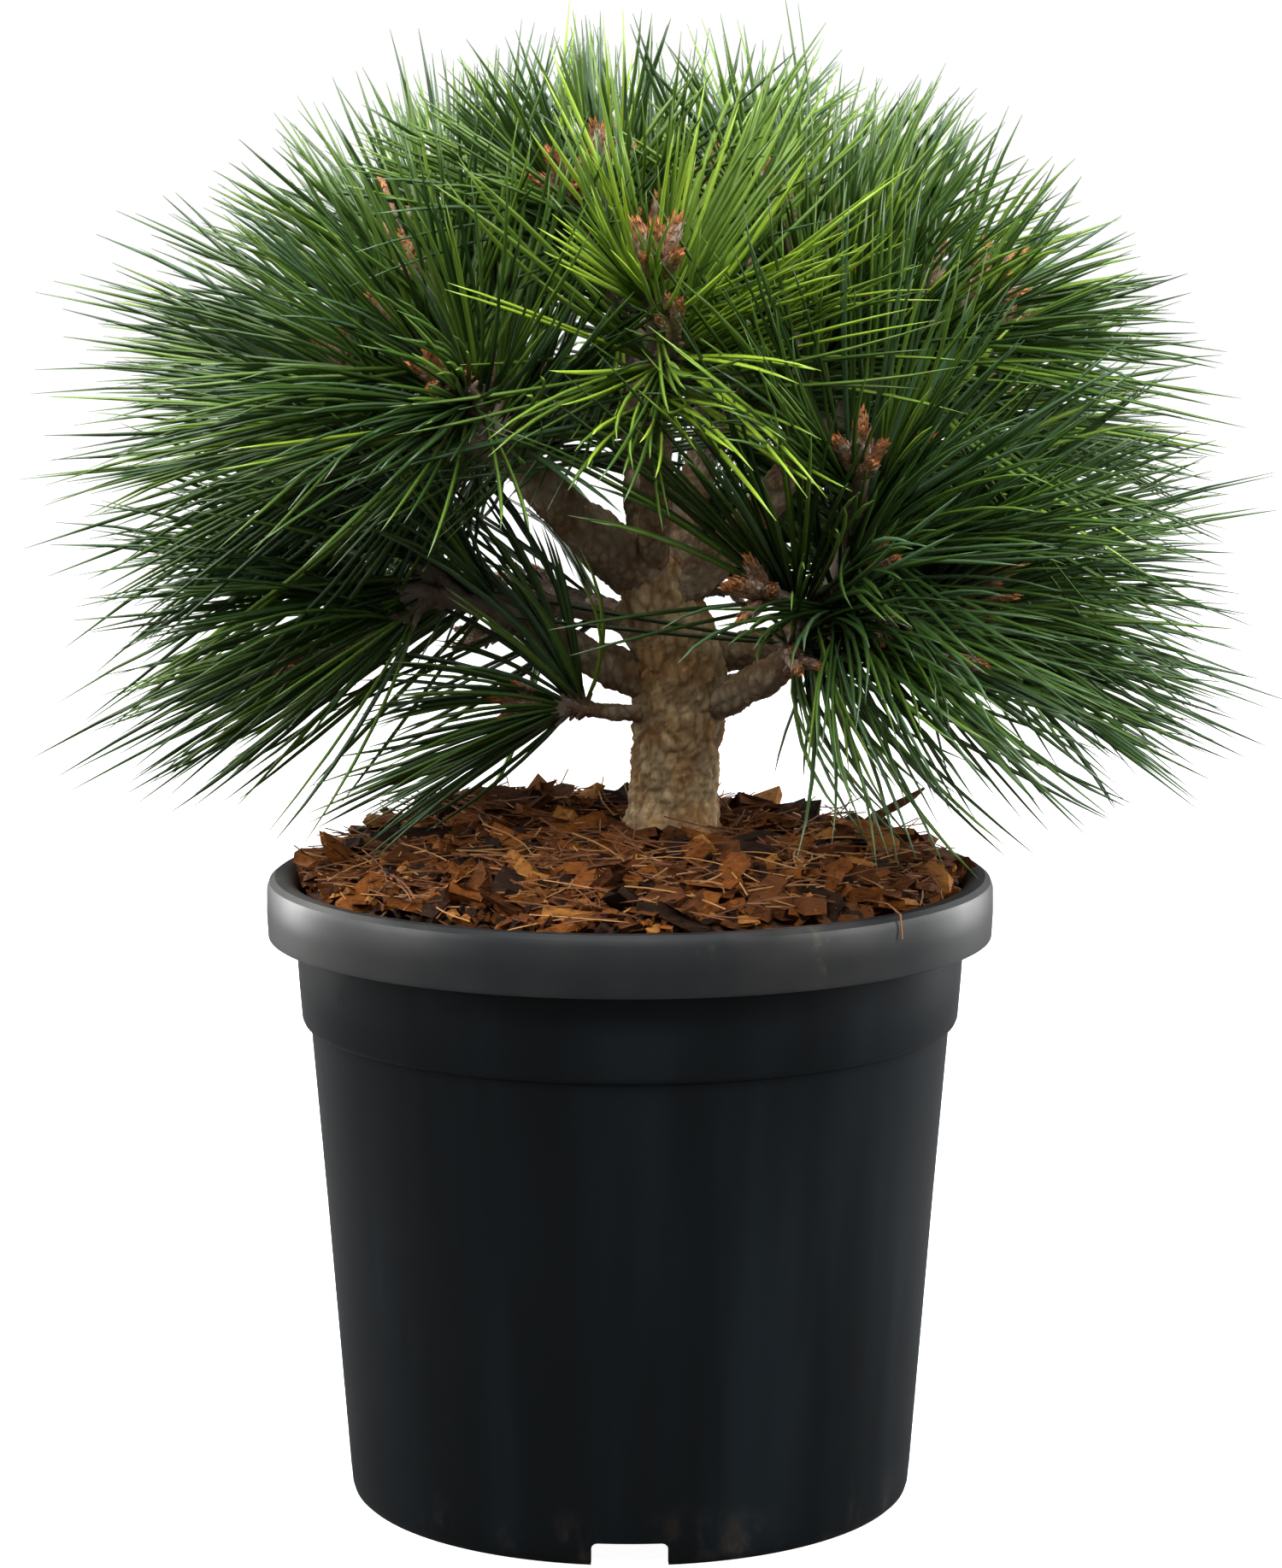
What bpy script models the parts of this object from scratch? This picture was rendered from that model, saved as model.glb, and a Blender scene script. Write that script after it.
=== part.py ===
"""Potted Austrian pine: a low, many-limbed young pine in a 24 cm nursery pot filled with coir chips.

Metres, +Z up. The origin is the middle of the pot's underside, and the viewer stands on the -Y side.
A direction is an azimuth in degrees, 0 at the front and growing towards +X, and an elevation.
"""

import math

import bmesh
import bpy
import numpy as np

# Pot: a moulded plastic container with a hanging lip, a collar under it and a notched foot ring.
POT_HEIGHT = 0.208
POT_SIDES = 36
LIP_RADIUS = 0.120
LIP_DROP = 0.020
LIP_THICKNESS = 0.0022
LIP_ROUNDING = 0.0030
LIP_TOP_THICKNESS = 0.0035
LIP_INNER_EDGE = 0.1140
MOUTH_RADIUS = 0.1107
MOUTH_CHAMFER = 0.0015
COLLAR_TOP_RADIUS = 0.1105
COLLAR_RADIUS = 0.1085
COLLAR_BOTTOM = 0.160
BODY_TOP_RADIUS = 0.106
FOOT_RADIUS = 0.0936
FOOT_CORNER = 0.0015
FOOT_HEIGHT = 0.0080
FOOT_THICKNESS = 0.0030
WALL = 0.0022
FLOOR_THICKNESS = 0.0025
NOTCH_WIDTH = 0.0245
NOTCH_FLARE = 0.0030
NOTCH_COUNT = 4
DRAIN_RADIUS = 0.0060
DRAIN_CIRCLE = 0.060
DRAIN_SIDES = 10
CUTTER_EXCESS = 0.003

# Soil: coir chips heaped a little higher round the trunk, and highest at the left and back.
SOIL_SIDES = 28
SOIL_RINGS = 5
SOIL_EDGE = 0.2045
SOIL_MOUND = 0.0155
SOIL_HEAP = 0.0085
SOIL_HEAP_AT = (-0.048, 0.030)
SOIL_HEAP_SPREAD = 0.034
FOOT_PAD_RADIUS = 0.020

# Trunk: height, sideways place and radius, from the flat cut on the soil to the fork.
TRUNK_STATIONS = (
    (0.2207, 0.0135, 0.0168),
    (0.2290, 0.0142, 0.0144),
    (0.2590, 0.0157, 0.0145),
    (0.2730, 0.0166, 0.0150),
    (0.2870, 0.0146, 0.0138),
    (0.2990, 0.0088, 0.0112),
    (0.3110, 0.0058, 0.0106),
    (0.3175, 0.0060, 0.0075),
)
TRUNK_SIDES = 12

# Boughs: height on the trunk's axis, azimuth, elevation, length, root radius, tip radius.
BOUGHS = {
    "left_leader": (0.3080, -52, 36, 0.070, 0.0088, 0.0060),
    "front_leader": (0.3060, 2, 50, 0.066, 0.0056, 0.0046),
    "top_leader": (0.3080, -150, 80, 0.066, 0.0070, 0.0050),
    "right_leader": (0.2960, 76, 47, 0.068, 0.0072, 0.0050),
    "back_leader": (0.2960, 160, 50, 0.066, 0.0070, 0.0050),
    "back_left_leader": (0.2990, -120, 38, 0.066, 0.0068, 0.0050),
    "left_bough": (0.2690, -86, 24, 0.056, 0.0072, 0.0054),
    "right_bough": (0.2610, 66, 26, 0.046, 0.0070, 0.0052),
    "back_right_bough": (0.2790, 112, 10, 0.058, 0.0066, 0.0048),
    "back_left_bough": (0.2760, -162, 12, 0.058, 0.0066, 0.0048),
    "low_twig": (0.2625, -64, 3, 0.034, 0.0030, 0.0026),
}
BOUGH_SIDES = 8
BOUGH_STEPS = 4
BOUGH_BEND = 0.10

# Shoots: where each one ends, as azimuth, elevation and distance from the middle of the crown.
CROWN_MIDDLE = np.array([0.008, 0.0, 0.300])
SHOOTS = {
    "left_leader": ((-42, 38, 0.120), (-80, 30, 0.124), (-98, 55, 0.145)),
    "front_leader": ((0, 50, 0.142),),
    "top_leader": ((-41, 73, 0.137), (150, 78, 0.134)),
    "right_leader": ((74, 43, 0.145), (64, 70, 0.130), (102, 18, 0.126)),
    "back_leader": ((172, 52, 0.136), (140, 30, 0.128), (120, 54, 0.134)),
    "back_left_leader": ((-140, 55, 0.134), (-118, 26, 0.128), (-158, 24, 0.126)),
    "left_bough": ((-84, 3, 0.098),),
    "right_bough": ((22, 6, 0.088), (35, 24, 0.120), (66, 4, 0.108)),
    "back_right_bough": ((95, -8, 0.112), (128, 0, 0.114)),
    "back_left_bough": ((163, 0, 0.112), (-162, -6, 0.112), (-122, -3, 0.112)),
    "low_twig": ((-63, -37, 0.055),),
}
STEM_SETBACK = 0.0026
STEM_STAGGER = 0.0053
STEM_BEND = 0.45
STEM_SIDES = 5
STEM_STEPS = 3
STEM_RADIUS = 0.0036
STEM_TIP_RADIUS = 0.0030
LOW_TWIG_SCALE = 0.7

# Candles: the buds at a stem's end, the middle one straight on and the others round it.
SIDE_CANDLES = 2
CANDLE_SIDES = 3
CANDLE_LENGTH = 0.019
CANDLE_ROOT_RADIUS = 0.0020
CANDLE_RADIUS = 0.0031
CANDLE_BELLY = 0.55
CANDLE_SPREAD = 34

# Needles: each solid one stands for a small bunch, so it is wider than a real needle.
NEEDLES = 18
NEEDLE_TRIES = 500
NEEDLE_LENGTH = 0.128
NEEDLE_SHARES = (1.0, 0.85, 0.7, 0.55)
NEEDLE_SHORTEST = 0.6
NEEDLE_LENGTH_RANGE = (0.88, 1.06)
NEEDLE_WIDTH = 0.0046
NEEDLE_DEPTH = 0.0020
NEEDLE_ROOT_SIZE = 0.35
NEEDLE_ROOT_DEPTH = 0.40
NEEDLE_KNEE = 0.50
NEEDLE_FIRST = 0.006
NEEDLE_STRETCH = 0.066
NEEDLE_STRETCH_SHARE = 0.75
NEEDLE_SAG = 0.14
FORWARD_BEND = 0.18
NARROW_SPREAD = 10
WIDE_SPREAD = 74
SPREAD_CURVE = 0.7
SPREAD_RANGE = (0.75, 1.1)
CLEAR_FROM_ROOT = 0.014
NEEDLE_CLEAR = 0.0022
SAMPLE_STEP = 0.004
GOLDEN_ANGLE = math.radians(137.508)
GOLDEN_SHARE = 0.618034

# Crown outline: no needle reaches past this rounded shape.
OUTLINE_MIDDLE = np.array([0.001, -0.003, 0.300])
OUTLINE_SIZE = np.array([0.207, 0.195, 0.190])

GAP = 0.0003
WELD = 0.00001
SEED = 7
GROWING_TRIES = 6

PLASTIC = ((0.013, 0.016, 0.019), 0.42)
COIR = ((0.150, 0.055, 0.022), 0.95)
TRUNK_BARK = ((0.170, 0.100, 0.062), 0.90)
BOUGH_BARK = ((0.130, 0.088, 0.062), 0.90)
NEEDLE_GREEN = ((0.030, 0.095, 0.028), 0.50)
SMOOTH_UNDER = math.radians(35)


def clear_scene():
    for obj in list(bpy.data.objects):
        bpy.data.objects.remove(obj, do_unlink=True)


def direction(azimuth, elevation):
    """The unit vector of an azimuth and an elevation in degrees."""
    turn = math.radians(azimuth)
    rise = math.radians(elevation)
    level = math.cos(rise)
    return np.array([math.sin(turn) * level, -math.cos(turn) * level, math.sin(rise)])


def unit(vector):
    return vector / np.linalg.norm(vector)


def mix(first, second, share):
    return first + (second - first) * share


def around(across, beside, turn):
    """The direction at a turn from one of two crossing directions towards the other."""
    return math.cos(turn) * across + math.sin(turn) * beside


def finish(obj, look):
    """Gives the object a material of its own, and shades its round sides smooth."""
    colour, roughness = look
    material = bpy.data.materials.new(obj.name + "_finish")
    material.use_nodes = True
    shader = material.node_tree.nodes["Principled BSDF"]
    shader.inputs["Base Color"].default_value = (*colour, 1.0)
    shader.inputs["Roughness"].default_value = roughness
    shader.inputs["Metallic"].default_value = 0.0
    obj.data.materials.clear()
    obj.data.materials.append(material)
    obj.data.shade_smooth()
    obj.data.set_sharp_from_angle(angle=SMOOTH_UNDER)


def new_object(name, bm):
    bmesh.ops.recalc_face_normals(bm, faces=bm.faces)
    mesh = bpy.data.meshes.new(name)
    bm.to_mesh(mesh)
    bm.free()
    obj = bpy.data.objects.new(name, mesh)
    bpy.context.scene.collection.objects.link(obj)
    return obj


def loft(name, rings):
    """A closed skin over rings of points. A last ring of one point makes a pointed end."""
    bm = bmesh.new()
    loops = [[bm.verts.new(point) for point in ring] for ring in rings]
    for lower, upper in zip(loops, loops[1:]):
        count = len(lower)
        for i in range(count):
            corner = (lower[i], lower[(i + 1) % count])
            if len(upper) == 1:
                bm.faces.new((*corner, upper[0]))
            else:
                bm.faces.new((*corner, upper[(i + 1) % count], upper[i]))
    bm.faces.new(loops[0][::-1])
    if len(loops[-1]) > 1:
        bm.faces.new(loops[-1])
    return new_object(name, bm)


def curve_between(start, bend, end, steps):
    """Points on the smooth curve from start to end that bends towards the middle point."""
    share = np.linspace(0.0, 1.0, steps + 1)[:, None]
    return (1 - share) ** 2 * start + 2 * share * (1 - share) * bend + share**2 * end


def tube_rings(path, radii, sides):
    """Round rings square to the path, each turned as little as can be from the one before."""
    tangents = np.gradient(np.asarray(path, float), axis=0)
    tangents /= np.linalg.norm(tangents, axis=1)[:, None]
    across = np.cross(tangents[0], (0.31, 0.93, 0.17))
    turns = np.linspace(0.0, 2 * math.pi, sides, endpoint=False)[:, None]
    rings = []
    for point, tangent, radius in zip(path, tangents, radii):
        across = unit(across - tangent * across.dot(tangent))
        beside = np.cross(tangent, across)
        rings.append(point + radius * (np.cos(turns) * across + np.sin(turns) * beside))
    return rings


def samples(path):
    """Points every few millimetres along a path of straight stretches."""
    points = [path[:1]]
    for start, end in zip(path, path[1:]):
        count = max(2, int(np.linalg.norm(end - start) / SAMPLE_STEP))
        points.append(start + (end - start) * np.linspace(0, 1, count + 1)[1:, None])
    return np.vstack(points)


def distance_to_path(points, path):
    """How far each point lies from a path of straight stretches."""
    start = path[:-1][None]
    along = np.diff(path, axis=0)[None]
    offset = points[:, None] - start
    share = (offset * along).sum(2) / (along**2).sum(2)
    nearest = start + along * np.clip(share, 0, 1)[..., None]
    return np.linalg.norm(points[:, None] - nearest, axis=2).min(1)


def apply_modifiers(obj):
    bpy.context.view_layer.update()
    graph = bpy.context.evaluated_depsgraph_get()
    mesh = bpy.data.meshes.new_from_object(obj.evaluated_get(graph))
    plain = obj.data
    obj.modifiers.clear()
    obj.data = mesh
    bpy.data.meshes.remove(plain)
    mesh.name = obj.name


def boolean(obj, others, operation):
    """Cuts the others from the object or fuses them to it, and removes them."""
    group = bpy.data.collections.new(obj.name + "_with")
    bpy.context.scene.collection.children.link(group)
    for other in others:
        bpy.context.scene.collection.objects.unlink(other)
        group.objects.link(other)
    modifier = obj.modifiers.new(operation.lower(), "BOOLEAN")
    modifier.operation = operation
    modifier.operand_type = "COLLECTION"
    modifier.collection = group
    apply_modifiers(obj)
    for other in others:
        mesh = other.data
        bpy.data.objects.remove(other, do_unlink=True)
        bpy.data.meshes.remove(mesh)
    bpy.data.collections.remove(group)


def connected(bm):
    """The faces in groups that hang together by their edges, largest group first."""
    left = set(bm.faces)
    groups = []
    while left:
        reached = [left.pop()]
        for face in reached:
            for edge in face.edges:
                # A hollow may touch the outer skin along an edge that more than two faces share.
                for other in edge.link_faces if len(edge.link_faces) == 2 else ():
                    if other in left:
                        left.remove(other)
                        reached.append(other)
        groups.append(reached)
    return sorted(groups, key=len, reverse=True)


def keep_outer_skin(obj):
    """Drops loose scraps and the skins of sealed hollows, and leaves triangles."""
    bm = bmesh.new()
    bm.from_mesh(obj.data)
    scraps = [face for group in connected(bm)[1:] for face in group]
    bmesh.ops.delete(bm, geom=scraps, context="FACES")
    bmesh.ops.dissolve_degenerate(bm, dist=1e-7, edges=bm.edges)
    bmesh.ops.triangulate(bm, faces=bm.faces)
    bm.to_mesh(obj.data)
    bm.free()


def is_one_skin(obj):
    """Whether each edge of the object still joins two faces once points that all but touch are welded."""
    bm = bmesh.new()
    bm.from_mesh(obj.data)
    bmesh.ops.remove_doubles(bm, verts=bm.verts, dist=WELD)
    sound = all(len(edge.link_faces) == 2 for edge in bm.edges)
    bm.free()
    return sound


def inner_radius(height):
    """The pot's inside radius on the straight wall under its collar."""
    return mix(FOOT_RADIUS, BODY_TOP_RADIUS, height / COLLAR_BOTTOM) - WALL


def lip_arc(steps=2):
    """The rounded shoulder of the pot's lip, from its outside to its top."""
    turns = np.radians(np.linspace(0, 90, steps + 1))
    middle = (LIP_RADIUS - LIP_ROUNDING, POT_HEIGHT - LIP_ROUNDING)
    return [(middle[0] + LIP_ROUNDING * math.cos(t), middle[1] + LIP_ROUNDING * math.sin(t)) for t in turns]


def pot_profile():
    """Radius and height of the pot's section, from the middle of its underside to that of its floor."""
    lip_bottom = POT_HEIGHT - LIP_DROP
    under_lip = POT_HEIGHT - LIP_TOP_THICKNESS
    foot_inside = FOOT_RADIUS - FOOT_CORNER - FOOT_THICKNESS
    floor_top = FOOT_HEIGHT + FLOOR_THICKNESS
    outside = [
        (0.0, FOOT_HEIGHT),
        (foot_inside, FOOT_HEIGHT),
        (foot_inside, 0.0),
        (FOOT_RADIUS - FOOT_CORNER, 0.0),
        (FOOT_RADIUS, 2 * FOOT_CORNER),
        (BODY_TOP_RADIUS, COLLAR_BOTTOM),
        (COLLAR_RADIUS, COLLAR_BOTTOM),
        (COLLAR_TOP_RADIUS, lip_bottom),
        (COLLAR_TOP_RADIUS, under_lip),
        (LIP_RADIUS - LIP_THICKNESS, under_lip),
        (LIP_RADIUS - LIP_THICKNESS, lip_bottom),
        (LIP_RADIUS, lip_bottom),
    ]
    inside = [
        (LIP_INNER_EDGE, POT_HEIGHT),
        (MOUTH_RADIUS, POT_HEIGHT - MOUTH_CHAMFER),
        (COLLAR_TOP_RADIUS - WALL, under_lip - WALL),
        (COLLAR_RADIUS - WALL, COLLAR_BOTTOM + WALL),
        (BODY_TOP_RADIUS - WALL, COLLAR_BOTTOM - WALL),
        (inner_radius(floor_top), floor_top),
        (0.0, floor_top),
    ]
    return outside + lip_arc() + inside


def spun(name, profile, sides):
    """The closed body that a profile from axis to axis makes as it turns."""
    bm = bmesh.new()
    points = [bm.verts.new((radius, 0.0, height)) for radius, height in profile]
    edges = [bm.edges.new(pair) for pair in zip(points, points[1:])]
    turn = {"cent": (0, 0, 0), "axis": (0, 0, 1), "angle": 2 * math.pi}
    bmesh.ops.spin(bm, geom=points + edges, steps=sides, use_merge=True, **turn)
    bmesh.ops.remove_doubles(bm, verts=bm.verts, dist=1e-6)
    return new_object(name, bm)


def notch_cutter(azimuth):
    """A wedge through the foot ring, a little wider at the ground."""
    outward = direction(azimuth, 0)
    across = np.array([-outward[1], outward[0], 0.0])
    top_half = NOTCH_WIDTH / 2
    low_half = top_half + NOTCH_FLARE / 2
    top = FOOT_HEIGHT - GAP
    corners = ((-low_half, -CUTTER_EXCESS), (low_half, -CUTTER_EXCESS), (top_half, top), (-top_half, top))
    rings = []
    for reach in (FOOT_RADIUS - 4 * FOOT_THICKNESS, FOOT_RADIUS + CUTTER_EXCESS):
        rings.append([outward * reach + across * side + (0, 0, height) for side, height in corners])
    return loft("notch", rings)


def drain_cutter(azimuth):
    middle = direction(azimuth, 0) * DRAIN_CIRCLE
    below = FOOT_HEIGHT - CUTTER_EXCESS
    above = FOOT_HEIGHT + FLOOR_THICKNESS + CUTTER_EXCESS
    ends = [middle + (0, 0, below), middle + (0, 0, above)]
    return loft("drain", tube_rings(ends, (DRAIN_RADIUS, DRAIN_RADIUS), DRAIN_SIDES))


def make_pot():
    pot = spun("pot", pot_profile(), POT_SIDES)
    step = 360 / NOTCH_COUNT
    cutters = [notch_cutter(i * step) for i in range(NOTCH_COUNT)]
    cutters += [drain_cutter((i + 0.5) * step) for i in range(NOTCH_COUNT)]
    boolean(pot, cutters, "DIFFERENCE")
    keep_outer_skin(pot)
    finish(pot, PLASTIC)


def soil_height(x, y):
    """The soil's surface: a low mound, with a heap at the left and back."""
    from_middle = min(math.hypot(x, y) / MOUTH_RADIUS, 1.0)
    from_heap = math.hypot(x - SOIL_HEAP_AT[0], y - SOIL_HEAP_AT[1]) / SOIL_HEAP_SPREAD
    heap = SOIL_HEAP * math.exp(-(from_heap**2)) * (1 - from_middle**4)
    return SOIL_EDGE + SOIL_MOUND * (1 - from_middle**3) + heap


def make_soil():
    """The filling of the pot, with a flat pad under the trunk's foot."""
    turns = np.linspace(0.0, 2 * math.pi, SOIL_SIDES, endpoint=False)
    circle = np.stack([np.cos(turns), np.sin(turns)], 1)
    floor = FOOT_HEIGHT + FLOOR_THICKNESS + GAP
    collar = COLLAR_BOTTOM - WALL
    # The flats of the pot's wall lie inside its round radius.
    flat = math.cos(math.pi / POT_SIDES)
    edge = (COLLAR_TOP_RADIUS - WALL) * flat - GAP
    walls = (
        (inner_radius(floor) * flat - GAP, floor),
        (inner_radius(collar) * flat - GAP, collar),
        (edge, SOIL_EDGE),
    )
    rings = [[(*(radius * spot), height) for spot in circle] for radius, height in walls]
    foot = np.array([TRUNK_STATIONS[0][1], 0.0])
    for step in range(1, SOIL_RINGS):
        share = step / SOIL_RINGS
        spots = foot * share + circle * mix(edge, FOOT_PAD_RADIUS, share)
        rings.append([(x, y, soil_height(x, y)) for x, y in spots])
    pad = TRUNK_STATIONS[0][0] - GAP
    rings.append([(*(foot + FOOT_PAD_RADIUS * spot), pad) for spot in circle])
    finish(loft("soil", rings), COIR)


def trunk_at(height):
    """The point of the trunk's axis at a height."""
    heights, places, _ = zip(*TRUNK_STATIONS)
    return np.array([np.interp(height, heights, places), 0.0, height])


def limb_table():
    """Path, radii and number of sides of each woody limb by name, the trunk first."""
    heights, places, radii = (np.array(column) for column in zip(*TRUNK_STATIONS))
    trunk = np.stack([places, np.zeros(len(heights)), heights], 1)
    limbs = {"trunk": (trunk, radii, TRUNK_SIDES)}
    for name, (height, azimuth, elevation, length, root, tip) in BOUGHS.items():
        start = trunk_at(height)
        end = start + direction(azimuth, elevation) * length
        bend = mix(start, end, 0.5) - np.array([0.0, 0.0, BOUGH_BEND * length])
        path = curve_between(start, bend, end, BOUGH_STEPS)
        limbs[name] = (path, np.linspace(root, tip, BOUGH_STEPS + 1), BOUGH_SIDES)
    return limbs


def shoot_table(limbs):
    """Stem path, stem radii, outward direction and size of each shoot by name."""
    shoots = {}
    for bough, ends in SHOOTS.items():
        path = limbs[bough][0]
        tangent = unit(path[-1] - path[-2])
        scale = LOW_TWIG_SCALE if bough == "low_twig" else 1.0
        radii = np.linspace(STEM_RADIUS, STEM_TIP_RADIUS, STEM_STEPS + 1) * scale
        for i, (azimuth, elevation, reach) in enumerate(ends):
            outward = direction(azimuth, elevation)
            start = path[-1] - tangent * (STEM_SETBACK + i * STEM_STAGGER)
            end = CROWN_MIDDLE + outward * reach
            away = unit(tangent + unit(end - start))
            bend = start + away * np.linalg.norm(end - start) * STEM_BEND
            stem = curve_between(start, bend, end, STEM_STEPS)
            shoots[f"{bough}_foliage_{i + 1}"] = (stem, radii, outward, scale)
    return shoots


def clear_of(obj, own_path, own_radius, neighbours):
    """Cuts the object 0.3 mm clear of each limb or stem that its own path comes near."""
    cutters = []
    for path, radii, sides in neighbours:
        near = distance_to_path(samples(own_path), path).min()
        if near < own_radius + max(radii) + 2 * GAP:
            cutters.append(loft("cutter", tube_rings(path, radii + GAP, sides)))
    if cutters:
        boolean(obj, cutters, "DIFFERENCE")
    keep_outer_skin(obj)


def make_limbs(limbs):
    made = []
    for name, (path, radii, sides) in limbs.items():
        rings = tube_rings(path, radii, sides)
        if name == "trunk":
            # The foot is cut level with the soil.
            rings[0][:, 2] = path[0][2]
        obj = loft(name, rings)
        clear_of(obj, path, max(radii), made)
        finish(obj, TRUNK_BARK if name == "trunk" else BOUGH_BARK)
        made.append((path, radii, sides))


def candle_rings(root, along, sides):
    """Rings of a bud that swells past its root and ends in a point."""
    base = tube_rings([root, root + along], (CANDLE_ROOT_RADIUS, CANDLE_ROOT_RADIUS), sides)[0]
    belly = along * CANDLE_LENGTH * CANDLE_BELLY
    swell = CANDLE_RADIUS / CANDLE_ROOT_RADIUS
    return [base, root + belly + (base - root) * swell, [root + along * CANDLE_LENGTH]]


def side_candles(tip, axis, across, beside, turn):
    lean = math.radians(CANDLE_SPREAD)
    root = tip - axis * CANDLE_ROOT_RADIUS
    made = []
    for i in range(SIDE_CANDLES):
        away = around(across, beside, turn + 2 * math.pi * i / SIDE_CANDLES)
        along = math.cos(lean) * axis + math.sin(lean) * away
        made.append(loft("candle", candle_rings(root, along, CANDLE_SIDES)))
    return made


def outline_length(root, along):
    """How far it is from a needle's root to the crown's outline."""
    start = (root - OUTLINE_MIDDLE) / OUTLINE_SIZE
    ray = along / OUTLINE_SIZE
    a = ray.dot(ray)
    b = start.dot(ray)
    c = start.dot(start) - 1
    return (-b + math.sqrt(max(b * b - a * c, 0.0))) / a


def needle_path(root, along, axis, length):
    """A needle's root, knee and tip: it leaves wide, turns forward and sags towards its end."""
    share = np.array([0.0, NEEDLE_KNEE, 1.0])[:, None]
    level = math.hypot(along[0], along[1])
    turned = (axis - along) * FORWARD_BEND - np.array([0.0, 0.0, NEEDLE_SAG * level])
    return root + length * (along * share + turned * share**2)


def needle(path):
    """Three-sided rings at the root and the knee, and a point."""
    along = unit(path[-1] - path[0])
    across = unit(np.cross(along, (0.0, 0.0, 1.0)))
    above = np.cross(across, along)
    rings = []
    for point, size in ((path[0], NEEDLE_ROOT_SIZE), (path[1], 1.0)):
        half = across * NEEDLE_WIDTH * size / 2
        rings.append([point - half, point + half, point + above * NEEDLE_DEPTH * size])
    return loft("needle", rings + [[path[-1]]])


def over_soil_and_pot(points):
    """Whether the points stay above the soil and the pot's lip."""
    from_middle = np.hypot(points[:, 0], points[:, 1])
    ground = np.array([soil_height(x, y) for x, y in points[:, :2]])
    ground[from_middle > MOUTH_RADIUS] = POT_HEIGHT
    beside_pot = from_middle > LIP_RADIUS + NEEDLE_WIDTH
    return (beside_pot | (points[:, 2] > ground + NEEDLE_WIDTH)).all()


def in_space(points, own, others, limbs):
    """Whether a needle stays nearest its own shoot, clear of limbs, stems, soil and pot."""
    near = distance_to_path(points, own)
    outside = near > STEM_RADIUS
    points = points[outside]
    near = near[outside]
    half = NEEDLE_WIDTH / 2
    for axis, stem, stem_radius in others:
        if (distance_to_path(points, axis) - near < NEEDLE_WIDTH + GAP).any():
            return False
        if (distance_to_path(points, stem) < stem_radius + half + GAP).any():
            return False
    for path, radii, _ in limbs:
        if (distance_to_path(points, path) < max(radii) + half + GAP).any():
            return False
    return over_soil_and_pot(points)


def fitting_needle(root, along, axis, natural, space):
    """The longest needle from this root that keeps to its space, or None."""
    longest = outline_length(root, along)
    for share in NEEDLE_SHARES:
        length = min(natural * share, longest)
        path = needle_path(root, along, axis, length)
        if length > natural * share * NEEDLE_SHORTEST and in_space(samples(path), *space):
            return path
    return None


def grow_needles(stem, axis, across, beside, turn, scale, space, rng):
    """Needles by the golden angle round a stem, wide ones low down and narrow ones near its tip."""
    lengths = np.r_[0, np.cumsum(np.linalg.norm(np.diff(stem, axis=0), axis=1))]
    stretch = min(NEEDLE_STRETCH, lengths[-1] * NEEDLE_STRETCH_SHARE)
    grown = []
    taken = np.empty((0, 3))
    for i in range(NEEDLE_TRIES):
        if len(grown) == NEEDLES:
            break
        back = (i * GOLDEN_SHARE) % 1.0
        away = around(across, beside, turn + i * GOLDEN_ANGLE)
        station = lengths[-1] - mix(NEEDLE_FIRST, stretch, back)
        middle = np.array([np.interp(station, lengths, column) for column in stem.T])
        root = middle + away * STEM_TIP_RADIUS * scale * NEEDLE_ROOT_DEPTH
        spread = math.radians(mix(NARROW_SPREAD, WIDE_SPREAD, back**SPREAD_CURVE))
        spread *= rng.uniform(*SPREAD_RANGE)
        along = math.cos(spread) * axis + math.sin(spread) * away
        natural = NEEDLE_LENGTH * scale * rng.uniform(*NEEDLE_LENGTH_RANGE)
        path = fitting_needle(root, along, axis, natural, space)
        if path is None:
            continue
        points = samples(path)
        points = points[np.linalg.norm(points - root, axis=1) > CLEAR_FROM_ROOT]
        if (np.linalg.norm(taken[:, None] - points, axis=2) < NEEDLE_CLEAR).any():
            continue
        taken = np.vstack([taken, points])
        grown.append(needle(path))
    return grown


def make_mass(name, shoot, others, limbs, rng):
    """One shoot as one body: its stem with the middle bud, the side buds and the needles."""
    stem, radii, outward, scale = shoot
    axis = unit(stem[-1] - stem[-2])
    across = unit(np.cross(axis, (0.3, 0.5, 0.8)))
    beside = np.cross(axis, across)
    turn = rng.uniform(0, 2 * math.pi)
    own = np.vstack([stem, stem[-1] + outward * NEEDLE_LENGTH])
    parts = side_candles(stem[-1], axis, across, beside, turn)
    parts += grow_needles(stem, axis, across, beside, turn, scale, (own, others, limbs), rng)
    bud = candle_rings(stem[-1], axis, STEM_SIDES)
    body = loft(name, tube_rings(stem, radii, STEM_SIDES) + bud[1:])
    boolean(body, parts, "UNION")
    keep_outer_skin(body)
    return body


def grown_mass(name, shoot, others, woody, seed):
    """A mass clear of its limbs, grown again from another seed if its skin touches itself."""
    for attempt in range(GROWING_TRIES):
        body = make_mass(name, shoot, others, woody, np.random.default_rng((seed, attempt)))
        clear_of(body, shoot[0], STEM_RADIUS, woody)
        if is_one_skin(body):
            return body
        bpy.data.objects.remove(body, do_unlink=True)
    raise ValueError(name + " has no sound skin")


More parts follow.
